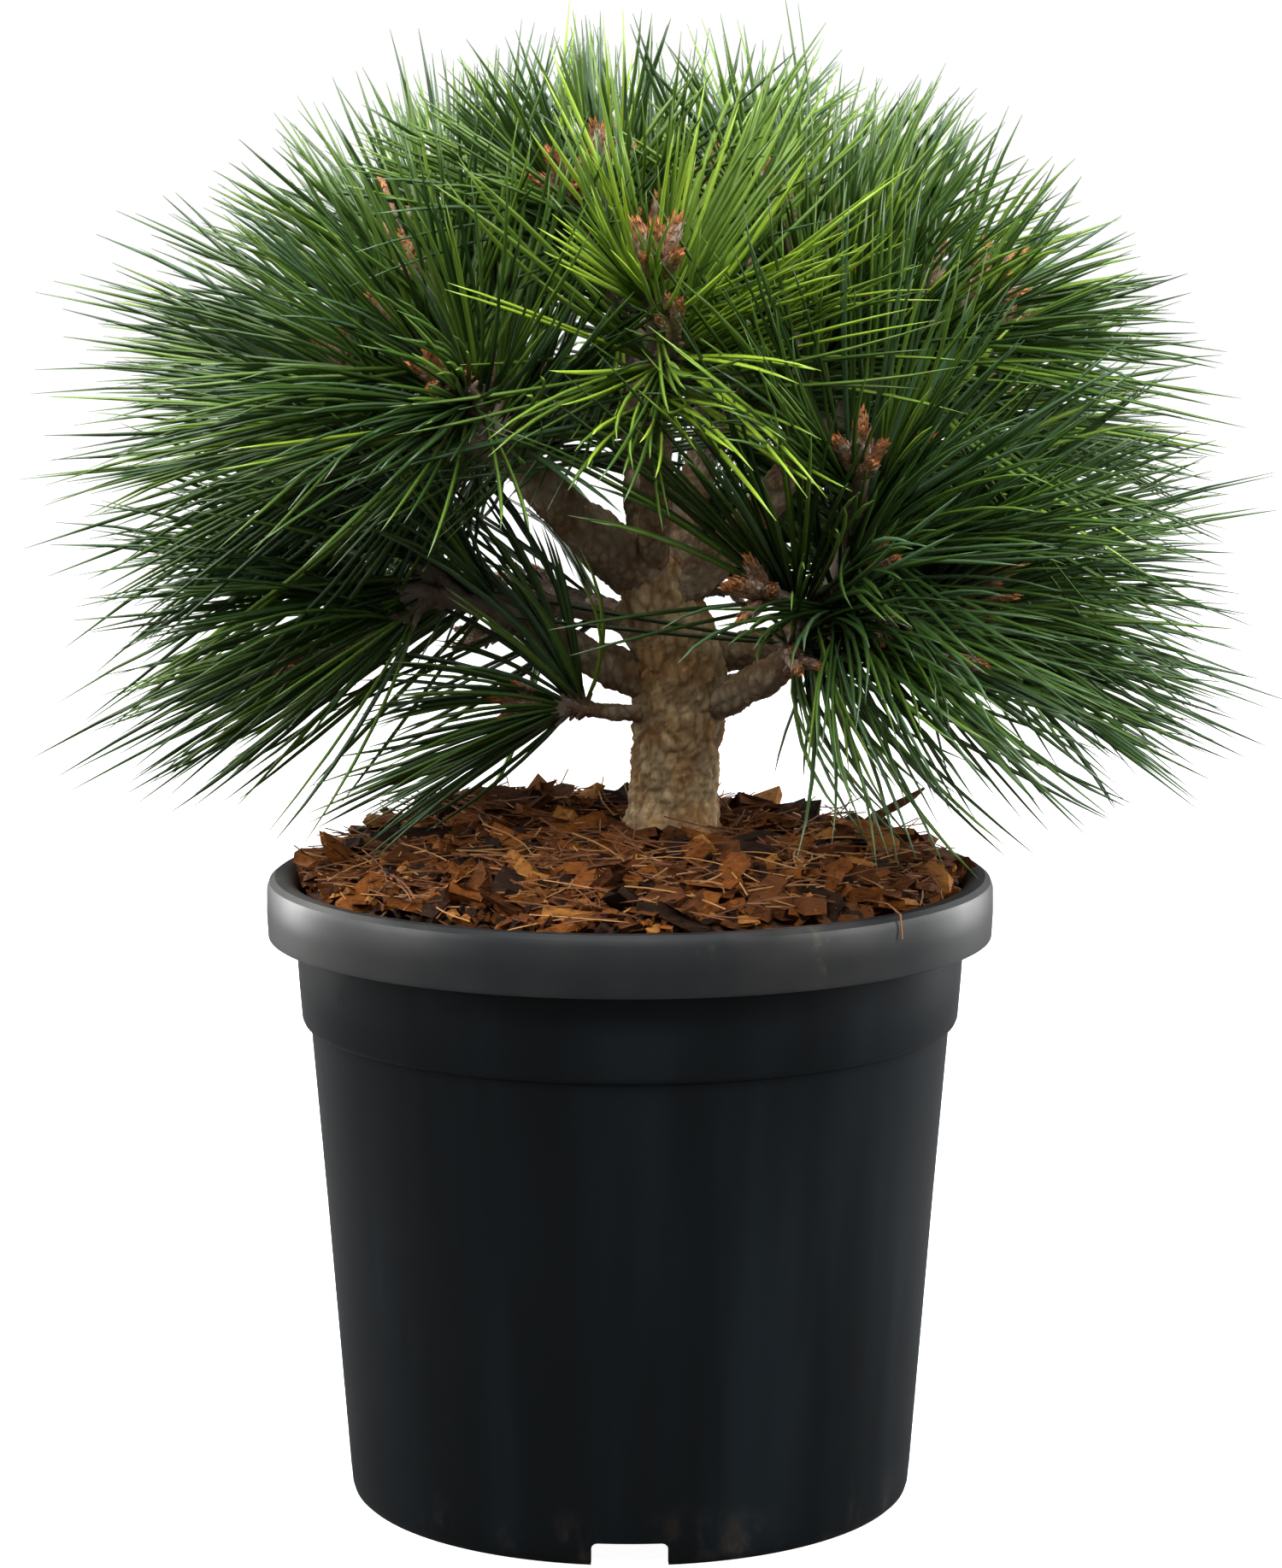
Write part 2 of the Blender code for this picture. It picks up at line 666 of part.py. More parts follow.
def make_foliage(limbs, shoots):
    """Each mass keeps to the space that is nearest its own shoot's line."""
    lines = {}
    for name, (stem, radii, outward, _) in shoots.items():
        lines[name] = (np.vstack([stem, stem[-1] + outward * NEEDLE_LENGTH]), stem, max(radii))
    woody = list(limbs.values())
    for index, (name, shoot) in enumerate(shoots.items()):
        others = [line for other, line in lines.items() if other != name]
        body = grown_mass(name, shoot, others, woody, SEED + index)
        woody.append((shoot[0], shoot[1], STEM_SIDES))
        finish(body, NEEDLE_GREEN)


def gather(name):
    """Hangs every solid on one empty at the middle of the pot's underside."""
    holder = bpy.data.objects.new(name, None)
    for obj in list(bpy.data.objects):
        if obj.type == "MESH":
            obj.parent = holder
    bpy.context.scene.collection.objects.link(holder)


clear_scene()
make_pot()
make_soil()
limb_shapes = limb_table()
make_limbs(limb_shapes)
make_foliage(limb_shapes, shoot_table(limb_shapes))
gather("potted_austrian_pine")
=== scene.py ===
import math

import bpy
import numpy as np
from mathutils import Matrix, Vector, noise


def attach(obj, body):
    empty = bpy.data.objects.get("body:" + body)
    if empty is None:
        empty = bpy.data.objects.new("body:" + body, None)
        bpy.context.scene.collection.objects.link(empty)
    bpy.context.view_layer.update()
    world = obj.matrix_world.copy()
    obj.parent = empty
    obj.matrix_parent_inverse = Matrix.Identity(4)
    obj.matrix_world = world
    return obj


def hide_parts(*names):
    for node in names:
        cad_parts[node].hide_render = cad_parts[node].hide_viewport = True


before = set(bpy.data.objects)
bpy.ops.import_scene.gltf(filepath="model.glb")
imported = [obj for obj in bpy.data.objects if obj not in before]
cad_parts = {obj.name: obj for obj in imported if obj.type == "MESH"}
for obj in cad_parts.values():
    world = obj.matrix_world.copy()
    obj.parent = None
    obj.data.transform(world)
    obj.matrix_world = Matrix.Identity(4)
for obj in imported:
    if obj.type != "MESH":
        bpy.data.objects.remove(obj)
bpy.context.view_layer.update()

# Studio: a floor and a room that look white to the camera, but light and mirror little. Soft lights stand
# behind the plant, beside it, above it and in front. The camera looks slightly down over the pot's rim.
FLOOR_WIDTH = 14.0
FLOOR_DROP = 0.0003
FLOOR_PAPER = (0.72, 0.72, 0.72)
FLOOR_ROUGHNESS = 0.95
FLOOR_GLOW = 0.97
FLOOR_BOUNCE = (0.06, 0.06, 0.06)
ROOM_LIGHT = 0.13
ROOM_SEEN = 1.0
WHITE = (1, 1, 1)
PLANT_MIDDLE = (0, 0, 0.28)
# Each light's place, width, height and power.
LIGHTS = {
    "left_light": ((-1.35, 0.95, 0.70), 0.5, 1.6, 42),
    "right_light": ((1.35, 0.95, 0.70), 0.5, 1.6, 42),
    "left_fill": ((-1.8, -0.45, 0.95), 0.8, 1.2, 44),
    "right_fill": ((1.8, -0.45, 0.95), 0.8, 1.2, 48),
    "top_light": ((0.0, -0.5, 2.1), 2.2, 1.4, 75),
    "front_light": ((0.0, -2.0, 2.3), 2.4, 0.9, 85),
}
IMAGE_HEIGHT = 1835
FOCAL_PIXELS = 5200
SENSOR = 36.0
VIEW_LIMIT = 50
CAMERA_PLACE = (0.0036, -1.45, 0.452)
CAMERA_PITCH = math.radians(8.43)

scene = bpy.context.scene
scene.view_settings.view_transform = "Standard"
bpy.ops.object.select_all(action="DESELECT")
bpy.ops.mesh.primitive_plane_add(size=FLOOR_WIDTH, location=(0, 0, -FLOOR_DROP))
floor = bpy.context.object
floor.name = "studio_floor"
paper = bpy.data.materials.new("floor_paper")
paper.use_nodes = True
paper_nodes = paper.node_tree.nodes
paper_links = paper.node_tree.links
lit = paper_nodes["Principled BSDF"]
lit.inputs["Base Color"].default_value = (*FLOOR_PAPER, 1)
lit.inputs["Roughness"].default_value = FLOOR_ROUGHNESS
lit.inputs["Emission Color"].default_value = (*WHITE, 1)
lit.inputs["Emission Strength"].default_value = FLOOR_GLOW
dull = paper_nodes.new("ShaderNodeBsdfDiffuse")
dull.inputs["Color"].default_value = (*FLOOR_BOUNCE, 1)
ray = paper_nodes.new("ShaderNodeLightPath")
choice = paper_nodes.new("ShaderNodeMixShader")
paper_links.new(ray.outputs["Is Camera Ray"], choice.inputs[0])
paper_links.new(dull.outputs[0], choice.inputs[1])
paper_links.new(lit.outputs[0], choice.inputs[2])
paper_links.new(choice.outputs[0], paper_nodes["Material Output"].inputs[0])
floor.data.materials.append(paper)


def softbox(name, place, width, height, power):
    """A soft light at a place, turned towards the middle of the plant."""
    lamp = bpy.data.lights.new(name, "AREA")
    lamp.shape = "RECTANGLE"
    lamp.size = width
    lamp.size_y = height
    lamp.energy = power
    box = bpy.data.objects.new(name, lamp)
    scene.collection.objects.link(box)
    box.location = place
    box.rotation_euler = (Vector(PLANT_MIDDLE) - Vector(place)).to_track_quat("-Z", "Y").to_euler()


for name, (place, width, height, power) in LIGHTS.items():
    softbox(name, place, width, height, power)

world = bpy.data.worlds.new("white_room")
scene.world = world
world.use_nodes = True
sky = world.node_tree.nodes["Background"]
sky.inputs["Color"].default_value = (*WHITE, 1)
seen = world.node_tree.nodes.new("ShaderNodeLightPath")
level = world.node_tree.nodes.new("ShaderNodeMapRange")
level.inputs["To Min"].default_value = ROOM_LIGHT
level.inputs["To Max"].default_value = ROOM_SEEN
world.node_tree.links.new(seen.outputs["Is Camera Ray"], level.inputs["Value"])
world.node_tree.links.new(level.outputs["Result"], sky.inputs["Strength"])

lens = bpy.data.cameras.new("camera")
lens.sensor_width = SENSOR
lens.lens = SENSOR * FOCAL_PIXELS / IMAGE_HEIGHT
lens.clip_end = VIEW_LIMIT
camera = bpy.data.objects.new("camera", lens)
scene.collection.objects.link(camera)
camera.location = CAMERA_PLACE
camera.rotation_euler = (math.pi / 2 - CAMERA_PITCH, 0, 0)
scene.camera = camera


# Pot: one piece of injection-moulded black polypropylene with a hanging lip, a collar under it and a
# foot ring with four notches. It is drawn up ring by ring, with small rings that round its edges. Then
# its body gets faint upright ridges, and the notches and the drain holes are cut.
POT_SIDES = 144
POT_HEIGHT = 0.208
FOOT_RADIUS = 0.0936
FOOT_HEIGHT = 0.0080
FLOOR_THICKNESS = 0.0025
BODY_TOP = 0.1565
BODY_TOP_RADIUS = 0.1056
LIP_BOTTOM = 0.188
LIP_RADIUS = 0.120
MOUTH_RADIUS = 0.1107
WELD = 1e-5
SMOOTH_ANGLE = math.radians(32)
NOTCH_COUNT = 4
NOTCH_CUTTER = (0.0245, 0.014, 0.0155)
NOTCH_ROUNDING = 0.002
NOTCH_ROUNDING_STEPS = 3
DRAIN_RADIUS = 0.0060
DRAIN_CIRCLE = 0.060
DRAIN_SIDES = 32
DRAIN_CUTTER_LENGTH = 0.02
FLUTE_TURNS = (-58, 56, 180)
FLUTE_HALF_WIDTH = math.radians(2.2)
FLUTE_HEIGHT = 0.0013
FLUTE_BOTTOM = 0.008
FLUTE_TOP = 0.158
FLUTE_SKIN = 0.001
# Radius and height of each ring, from the underside of the floor out, up, over the lip and down inside.
POT_RINGS = (
    (0.0891, FOOT_HEIGHT),
    (0.0891, 0.0),
    (0.0917, 0.0),
    (0.0928, 0.0010),
    (0.0935, 0.0032),
    (0.0940, 0.0090),
    (0.1010, 0.100),
    (BODY_TOP_RADIUS, BODY_TOP),
    (0.1062, 0.1585),
    (0.1080, 0.1598),
    (0.1086, 0.1612),
    (0.1096, 0.174),
    (0.1104, 0.1875),
    (0.1105, 0.2035),
    (0.1174, 0.2045),
    (0.1178, 0.1885),
    (0.1186, LIP_BOTTOM),
    (0.1195, 0.1884),
    (0.1199, 0.1960),
    (0.1198, 0.2042),
    (0.1190, 0.2064),
    (0.1172, 0.2078),
    (0.1150, POT_HEIGHT),
    (0.1125, 0.2074),
    (MOUTH_RADIUS, 0.2060),
    (0.1086, 0.2012),
    (0.1065, 0.1622),
    (0.1036, 0.1570),
    (0.0922, FOOT_HEIGHT + FLOOR_THICKNESS),
)
LIP_BLEND = 0.002
RIM_DUST_DEPTH = 0.006
FOOT_SOIL_HEIGHT = 0.022
POT_ROUGHNESS = 0.4
POT_SHEEN = 0.24
POT_COLOURS = {
    "plain": (0.010, 0.014, 0.018),
    "body": (0.0016, 0.0026, 0.0034),
    "body_runs": (0.0042, 0.0068, 0.0090),
    "lip": (0.008, 0.009, 0.010),
    "lip_dust": (0.026, 0.025, 0.024),
    "lip_smears": (0.070, 0.058, 0.036),
    "rim_dust": (0.085, 0.083, 0.076),
    "foot_soil": (0.060, 0.042, 0.028),
}
# The sockets of a Mix node that mixes colours: its share, its two colours and its result.
MIX_SHARE = 0
MIX_FIRST = 6
MIX_SECOND = 7
MIX_RESULT = 2


class Value:
    """A shader socket that takes part in Python sums."""

    def __init__(self, finish, socket):
        self.finish = finish
        self.socket = socket

    def maths(self, operation, first, second):
        return self.finish.node("ShaderNodeMath", {"operation": operation}, {0: first, 1: second})

    def __add__(self, other):
        return self.maths("ADD", self, other)

    def __sub__(self, other):
        return self.maths("SUBTRACT", self, other)

    def __rsub__(self, other):
        return self.maths("SUBTRACT", other, self)

    def __mul__(self, other):
        return self.maths("MULTIPLY", self, other)

    __radd__ = __add__
    __rmul__ = __mul__

    def between(self, low, high):
        """0 under low and 1 over high, with a smooth rise."""
        inputs = {"Value": self, "From Min": low, "From Max": high}
        return self.finish.node("ShaderNodeMapRange", {"interpolation_type": "SMOOTHSTEP"}, inputs, "Result")


class Finish:
    """A surface finish: a Principled shader and the nodes that feed it."""

    def __init__(self, name, colour, roughness):
        self.material = bpy.data.materials.new(name)
        self.material.use_nodes = True
        self.shader = self.material.node_tree.nodes["Principled BSDF"]
        self.set("Base Color", colour)
        self.set("Roughness", roughness)

    def put(self, socket, value):
        """Links the socket to a value, or sets it to a colour or a number."""
        if isinstance(value, Value):
            self.material.node_tree.links.new(value.socket, socket)
        elif socket.type == "RGBA":
            socket.default_value = (*value, 1.0)
        else:
            socket.default_value = value

    def set(self, name, value):
        self.put(self.shader.inputs[name], value)

    def node(self, kind, settings, inputs, output=0):
        made = self.material.node_tree.nodes.new(kind)
        for name, setting in settings.items():
            setattr(made, name, setting)
        for name, value in inputs.items():
            self.put(made.inputs[name], value)
        return Value(self, made.outputs[output])

    def place(self, stretch=(1, 1, 1)):
        """The point on the object, stretched along its axes."""
        spot = self.node("ShaderNodeTexCoord", {}, {}, "Object")
        return self.node("ShaderNodeMapping", {}, {"Vector": spot, "Scale": stretch})

    def grain(self, scale, detail, stretch=(1, 1, 1), rough=0.5):
        """A noise pattern on the object."""
        inputs = {"Vector": self.place(stretch), "Scale": scale, "Detail": detail, "Roughness": rough}
        return self.node("ShaderNodeTexNoise", {}, inputs)

    def mix(self, share, first, second):
        inputs = {MIX_SHARE: share, MIX_FIRST: first, MIX_SECOND: second}
        return self.node("ShaderNodeMix", {"data_type": "RGBA"}, inputs, MIX_RESULT)

    def bump(self, height, strength, distance):
        inputs = {"Height": height, "Strength": strength, "Distance": distance}
        self.set("Normal", self.node("ShaderNodeBump", {}, inputs))


def pot_plastic():
    """Satin blue-black plastic, dusty on the lip, with faint runs of dried water down the body."""
    finish = Finish("pot_plastic", POT_COLOURS["plain"], POT_ROUGHNESS)
    height = finish.node("ShaderNodeSeparateXYZ", {}, {"Vector": finish.place()}, "Z")
    cloud = finish.grain(scale=14, detail=5)
    runs = finish.grain(scale=30, detail=3, stretch=(1, 1, 0.07))
    smears = finish.grain(scale=60, detail=6, stretch=(1, 1, 0.6), rough=0.65)
    lip = height.between(LIP_BOTTOM - LIP_BLEND, LIP_BOTTOM + LIP_BLEND)
    top = height.between(POT_HEIGHT - RIM_DUST_DEPTH, POT_HEIGHT)
    foot = 1 - height.between(0.0, FOOT_SOIL_HEIGHT)
    body = finish.mix(runs.between(0.42, 0.72), POT_COLOURS["body"], POT_COLOURS["body_runs"])
    dusty = finish.mix(cloud.between(0.3, 0.75), POT_COLOURS["lip"], POT_COLOURS["lip_dust"])
    dusty = finish.mix(smears.between(0.62, 0.72) * 0.45, dusty, POT_COLOURS["lip_smears"])
    colour = finish.mix(lip, body, dusty)
    colour = finish.mix(top * cloud.between(0.4, 0.7) * 0.5, colour, POT_COLOURS["rim_dust"])
    colour = finish.mix(foot * smears.between(0.5, 0.75) * 0.5, colour, POT_COLOURS["foot_soil"])
    finish.set("Base Color", colour)
    finish.set("Roughness", runs * 0.14 + smears * 0.12 + lip * 0.12 + 0.18)
    pitting = finish.grain(scale=900, detail=2)
    finish.bump(cloud * 0.7 + pitting * 0.04, strength=0.18, distance=0.0012)
    finish.set("Specular IOR Level", POT_SHEEN)
    return finish.material


def draw_up(rings):
    """In edit mode, extrudes the selected edge of a disc from ring to ring, and closes the last one."""
    for (radius, height), (next_radius, next_height) in zip(rings, rings[1:]):
        rise = {"value": (0, 0, next_height - height)}
        if (radius, height) == rings[0]:
            bpy.ops.mesh.extrude_edges_move(TRANSFORM_OT_translate=rise)
        else:
            bpy.ops.mesh.extrude_region_move(TRANSFORM_OT_translate=rise)
        spread = next_radius / radius
        bpy.ops.transform.resize(value=(spread, spread, 1))
    bpy.ops.mesh.edge_face_add()


def raise_flute(azimuth):
    """In edit mode, lifts the strip of the body's outer skin at the azimuth into a ridge."""
    bpy.ops.object.mode_set(mode="OBJECT")
    for vertex in pot.data.vertices:
        spot = vertex.co
        away = math.remainder(math.atan2(spot.x, -spot.y) - azimuth, 2 * math.pi)
        skin = FOOT_RADIUS + (BODY_TOP_RADIUS - FOOT_RADIUS) * spot.z / BODY_TOP - FLUTE_SKIN
        outer = math.hypot(spot.x, spot.y) > skin
        vertex.select = abs(away) < FLUTE_HALF_WIDTH and FLUTE_BOTTOM < spot.z < FLUTE_TOP and outer
    bpy.ops.object.mode_set(mode="EDIT")
    outward = (FLUTE_HEIGHT * math.sin(azimuth), -FLUTE_HEIGHT * math.cos(azimuth), 0)
    bpy.ops.transform.translate(value=outward)


def cut_away(obj, cutter):
    """Cuts the cutter's shape out of the object and removes the cutter."""
    cut = obj.modifiers.new("cut", "BOOLEAN")
    cut.object = cutter
    cut.operation = "DIFFERENCE"
    bpy.context.view_layer.objects.active = obj
    bpy.ops.object.modifier_apply(modifier=cut.name)
    bpy.data.objects.remove(cutter, do_unlink=True)


bpy.ops.object.select_all(action="DESELECT")
bpy.ops.mesh.primitive_circle_add(
    vertices=POT_SIDES, radius=POT_RINGS[0][0], fill_type="NGON", location=(0, 0, POT_RINGS[0][1])
)
pot = bpy.context.object
pot.name = "nursery_pot"
bpy.ops.object.transform_apply(location=True, rotation=True, scale=True)
bpy.ops.object.mode_set(mode="EDIT")
bpy.ops.mesh.select_mode(type="EDGE")
bpy.ops.mesh.select_all(action="SELECT")
draw_up(POT_RINGS)
bpy.ops.mesh.select_all(action="SELECT")
bpy.ops.mesh.remove_doubles(threshold=WELD)
bpy.ops.mesh.normals_make_consistent(inside=False)
bpy.ops.mesh.select_mode(type="VERT")
for turn in FLUTE_TURNS:
    raise_flute(math.radians(turn))
bpy.ops.object.mode_set(mode="OBJECT")

for step in range(NOTCH_COUNT):
    turn = step * 2 * math.pi / NOTCH_COUNT
    bpy.ops.mesh.primitive_cube_add(size=1, location=(0, 0, 0))
    notch = bpy.context.object
    notch.scale = NOTCH_CUTTER
    notch.rotation_euler = (0, 0, turn)
    notch.location = (math.sin(turn) * FOOT_RADIUS, -math.cos(turn) * FOOT_RADIUS, 0)
    bpy.ops.object.transform_apply(location=False, rotation=False, scale=True)
    soften = notch.modifiers.new("soften", "BEVEL")
    soften.width = NOTCH_ROUNDING
    soften.segments = NOTCH_ROUNDING_STEPS
    bpy.ops.object.modifier_apply(modifier=soften.name)
    cut_away(pot, notch)
    turn += math.pi / NOTCH_COUNT
    bpy.ops.mesh.primitive_cylinder_add(
        vertices=DRAIN_SIDES,
        radius=DRAIN_RADIUS,
        depth=DRAIN_CUTTER_LENGTH,
        location=(math.sin(turn) * DRAIN_CIRCLE, -math.cos(turn) * DRAIN_CIRCLE, FOOT_HEIGHT),
    )
    cut_away(pot, bpy.context.object)
bpy.ops.object.select_all(action="DESELECT")
pot.select_set(True)
bpy.context.view_layer.objects.active = pot
bpy.ops.object.shade_smooth_by_angle(angle=SMOOTH_ANGLE)
pot.data.materials.clear()
pot.data.materials.append(pot_plastic())
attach(pot, "root")
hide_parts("pot")


# Coir: the pot is filled with chips and fibres of coconut husk, heaped a little round the trunk. The
# filling itself keeps the frame's solid. Loose chips, crumbs and fibres lie on it in all directions.
SOIL_EDGE = 0.2045
SOIL_MOUND = 0.0155
SOIL_HEAP = 0.0085
SOIL_HEAP_AT = (-0.048, 0.030)
SOIL_HEAP_SPREAD = 0.034
TRUNK_FOOT = (0.0135, 0.0)
TRUNK_MARGIN = 0.019
COIR_ROUGHNESS = 0.9
COIR_SHEEN = 0.15
COIR_BED_COLOUR = (0.045, 0.018, 0.009)
# Each colour of chips, with the number of large chips and of crumbs.
CHIPS = {
    "red_brown": ((0.140, 0.043, 0.006), 170, 900),
    "brown": ((0.072, 0.022, 0.004), 170, 1100),
    "dark": ((0.016, 0.006, 0.002), 110, 1300),
    "tan": ((0.260, 0.105, 0.022), 45, 420),
}
CHIP_SIZE = ((0.010, 0.026), (0.007, 0.015), (0.002, 0.0050))
CHIP_TILT = 0.38
CHIP_LIFT = 0.003
CRUMB_SIZE = ((0.003, 0.008), (0.002, 0.005), (0.0012, 0.003))
CRUMB_TILT = 0.7
CRUMB_LIFT = 0.0025
LIFT_RANGE = (-0.6, 1.0)
RAGGEDNESS = (0.72, 1.15)
CHIP_REACH = 0.1065
# Each colour of fibres, with their number.
FIBRES = {
    "pale": ((0.26, 0.125, 0.036), 300),
    "rusty": ((0.12, 0.038, 0.008), 700),
}
FIBRE_ROUGHNESS = 0.85
FIBRE_LENGTH = (0.012, 0.045)
FIBRE_RADIUS = 0.00028
FIBRE_SIDES = 3
FIBRE_POINTS = 6
FIBRE_TILT = 0.22
FIBRE_BEND = 1.1
FIBRE_HUMP = 0.12
FIBRE_LIFT = (0.001, 0.005)
FIBRE_REACH = 0.108
FIBRE_LIMIT = 0.112
rng = np.random.default_rng(11)


def soil_height(x, y):
    """The filling's surface: a low mound, with a heap at the left and back."""
    from_middle = np.minimum(np.hypot(x, y) / MOUTH_RADIUS, 1.0)
    from_heap = np.hypot(x - SOIL_HEAP_AT[0], y - SOIL_HEAP_AT[1]) / SOIL_HEAP_SPREAD
    heap = SOIL_HEAP * np.exp(-(from_heap**2)) * (1 - from_middle**4)
    return SOIL_EDGE + SOIL_MOUND * (1 - from_middle**3) + heap


def unit(vectors):
    return vectors / np.linalg.norm(vectors, axis=-1, keepdims=True)


def repeated(faces, count, stride):
    """The triangles of one shape for many copies, whose points follow each other."""
    return (faces[None] + (np.arange(count) * stride)[:, None, None]).reshape(-1, 3)


def tubes(paths, radii, sides, flat=1.0):
    """Points and triangles of many closed tubes, one for each path of an array of paths."""
    count, steps, _ = paths.shape
    tangents = unit(np.gradient(paths, axis=1))
    mean = np.abs(tangents.mean(1))
    helper = np.eye(3)[mean.argmin(1)][:, None]
    across = unit(np.cross(tangents, helper))
    above = np.cross(tangents, across)
    turns = 2 * math.pi * np.arange(sides) / sides
    ring = np.cos(turns)[:, None] * across[:, :, None] + flat * np.sin(turns)[:, None] * above[:, :, None]
    points = (paths[:, :, None] + radii[:, :, None, None] * ring).reshape(-1, 3)
    low = np.arange(steps - 1)[:, None] * sides + np.arange(sides)
    beside = np.arange(steps - 1)[:, None] * sides + (np.arange(sides) + 1) % sides
    skin = [np.stack([low, beside, beside + sides], -1), np.stack([low, beside + sides, low + sides], -1)]
    fan = np.stack([np.zeros(sides - 2, int), np.arange(2, sides), np.arange(1, sides - 1)], 1)
    last = (steps - 1) * sides
    one = np.concatenate([part.reshape(-1, 3) for part in skin] + [fan, fan[:, ::-1] + last])
    return points, repeated(one, count, steps * sides)


def joined(name, groups, material, smooth=False):
    """One piece made of groups of points and triangles."""
    start = 0
    points = []
    faces = []
    for group_points, group_faces in groups:
        points.append(group_points)
        faces.append(group_faces + start)
        start += len(group_points)
    mesh = bpy.data.meshes.new(name)
    mesh.from_pydata(np.vstack(points), [], np.vstack(faces))
    mesh.materials.append(material)
    if smooth:
        mesh.shade_smooth()
    piece = bpy.data.objects.new(name, mesh)
    scene.collection.objects.link(piece)
    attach(piece, "root")
    return piece


def shade(colour, factor, lift=0.0):
    """The colour made darker or lighter."""
    return tuple(min(part * factor + lift, 1) for part in colour)


def coir(name, colour):
    """Husk of one colour, with darker pith between its fibres."""
    finish = Finish(name, colour, COIR_ROUGHNESS)
    fibres = finish.grain(scale=260, detail=5, stretch=(1, 1, 2.5), rough=0.7)
    body = finish.mix(fibres.between(0.3, 0.52), shade(colour, 0.35), colour)
    finish.set("Base Color", finish.mix(fibres.between(0.56, 0.74), body, shade(colour, 1.7, 0.01)))
    finish.bump(fibres, strength=0.9, distance=0.0015)
    finish.set("Specular IOR Level", COIR_SHEEN)
    return finish.material


def scattered(count, reach):
    """Places on the soil, evenly spread, outside the trunk's foot."""
    spots = np.empty((0, 2))
    while len(spots) < count:
        radius = reach * np.sqrt(rng.uniform(0, 1, count))
        turn = rng.uniform(0, 2 * math.pi, count)
        more = np.stack([radius * np.cos(turn), radius * np.sin(turn)], 1)
        more = more[np.linalg.norm(more - TRUNK_FOOT, axis=1) > TRUNK_MARGIN]
        spots = np.vstack([spots, more])
    return spots[:count]


def turned(count, tilt):
    """Random frames: level turns all round, tipped by about the tilt."""
    spin = rng.uniform(0, 2 * math.pi, count)
    up = unit(np.stack([rng.normal(0, tilt, count), rng.normal(0, tilt, count), np.ones(count)], 1))
    along = np.stack([np.cos(spin), np.sin(spin), np.zeros(count)], 1)
    along = unit(along - up * (along * up).sum(1)[:, None])
    return along, np.cross(up, along), up


# A slab's outline, with its left end split. The slab has one such outline below and one above.
SLAB = ((-1, -1), (-0.2, -0.8), (0.6, -1), (1, -0.3), (0.8, 0.9), (-0.1, 1), (-1, 0.7), (-0.7, 0.1))
SLAB_CORNERS = np.array([(x, y, z) for z in (-1, 1) for x, y in SLAB], float) / 2


def slab_faces():
    """The triangles of a slab: underside, top and edges."""
    count = len(SLAB)
    fan = [(0, i + 1, i) for i in range(1, count - 1)]
    rim = [(i, (i + 1) % count) for i in range(count)]
    top = [(c + count, b + count, a + count) for a, b, c in fan]
    return np.array(
        fan
        + top
        + [(a, b, b + count) for a, b in rim]
        + [(a, b + count, a + count) for a, b in rim]
    )


def chips(count, sizes, tilt, lift):
    """Ragged chips: slabs with jittered corners and one split end."""
    spots = scattered(count, CHIP_REACH)
    axes = np.stack(turned(count, tilt), 1)
    size = np.stack([rng.uniform(*ends, count) for ends in sizes], 1)
    shape = SLAB_CORNERS * size[:, None] * rng.uniform(*RAGGEDNESS, (count, len(SLAB_CORNERS), 3))
    middle = np.column_stack([spots, soil_height(*spots.T) + lift * rng.uniform(*LIFT_RANGE, count)])
    points = (middle[:, None] + shape @ axes).reshape(-1, 3)
    return points, repeated(slab_faces(), count, len(SLAB_CORNERS))


def fibre_paths(count):
    """Bent and slightly humped fibres on the soil, without those that reach far over the rim."""
    spots = scattered(count, FIBRE_REACH)
    along, across, up = turned(count, FIBRE_TILT)
    reach = rng.uniform(*FIBRE_LENGTH, count)[:, None, None]
    share = np.linspace(-0.5, 0.5, FIBRE_POINTS)[None, :, None]
    sweep = rng.uniform(-FIBRE_BEND, FIBRE_BEND, count)[:, None, None]
    hump = rng.uniform(0.0, FIBRE_HUMP, count)[:, None, None]
    middle = np.column_stack([spots, soil_height(*spots.T) + rng.uniform(*FIBRE_LIFT, count)])
    line = middle[:, None] + reach * (along[:, None] * share + across[:, None] * sweep * (share**2))
    line = line + up[:, None] * reach * hump * (0.25 - share**2)
    inside = np.hypot(line[..., 0], line[..., 1]).max(1) < FIBRE_LIMIT
    return line[inside]


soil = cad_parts["soil"]
soil.data.materials.clear()
soil.data.materials.append(coir("coir_bed", COIR_BED_COLOUR))

for name, (colour, large, small) in CHIPS.items():
    groups = [
        chips(large, CHIP_SIZE, CHIP_TILT, CHIP_LIFT),
        chips(small, CRUMB_SIZE, CRUMB_TILT, CRUMB_LIFT),
    ]
    piece = joined("coir_chips_" + name, groups, coir("coir_" + name, colour))

for name, (colour, count) in FIBRES.items():
    lines = fibre_paths(count)
    radii = np.full(lines.shape[:2], FIBRE_RADIUS)
    finish = Finish("fibre_" + name, colour, FIBRE_ROUGHNESS)
    piece = joined("coir_fibres_" + name, [tubes(lines, radii, FIBRE_SIDES)], finish.material)


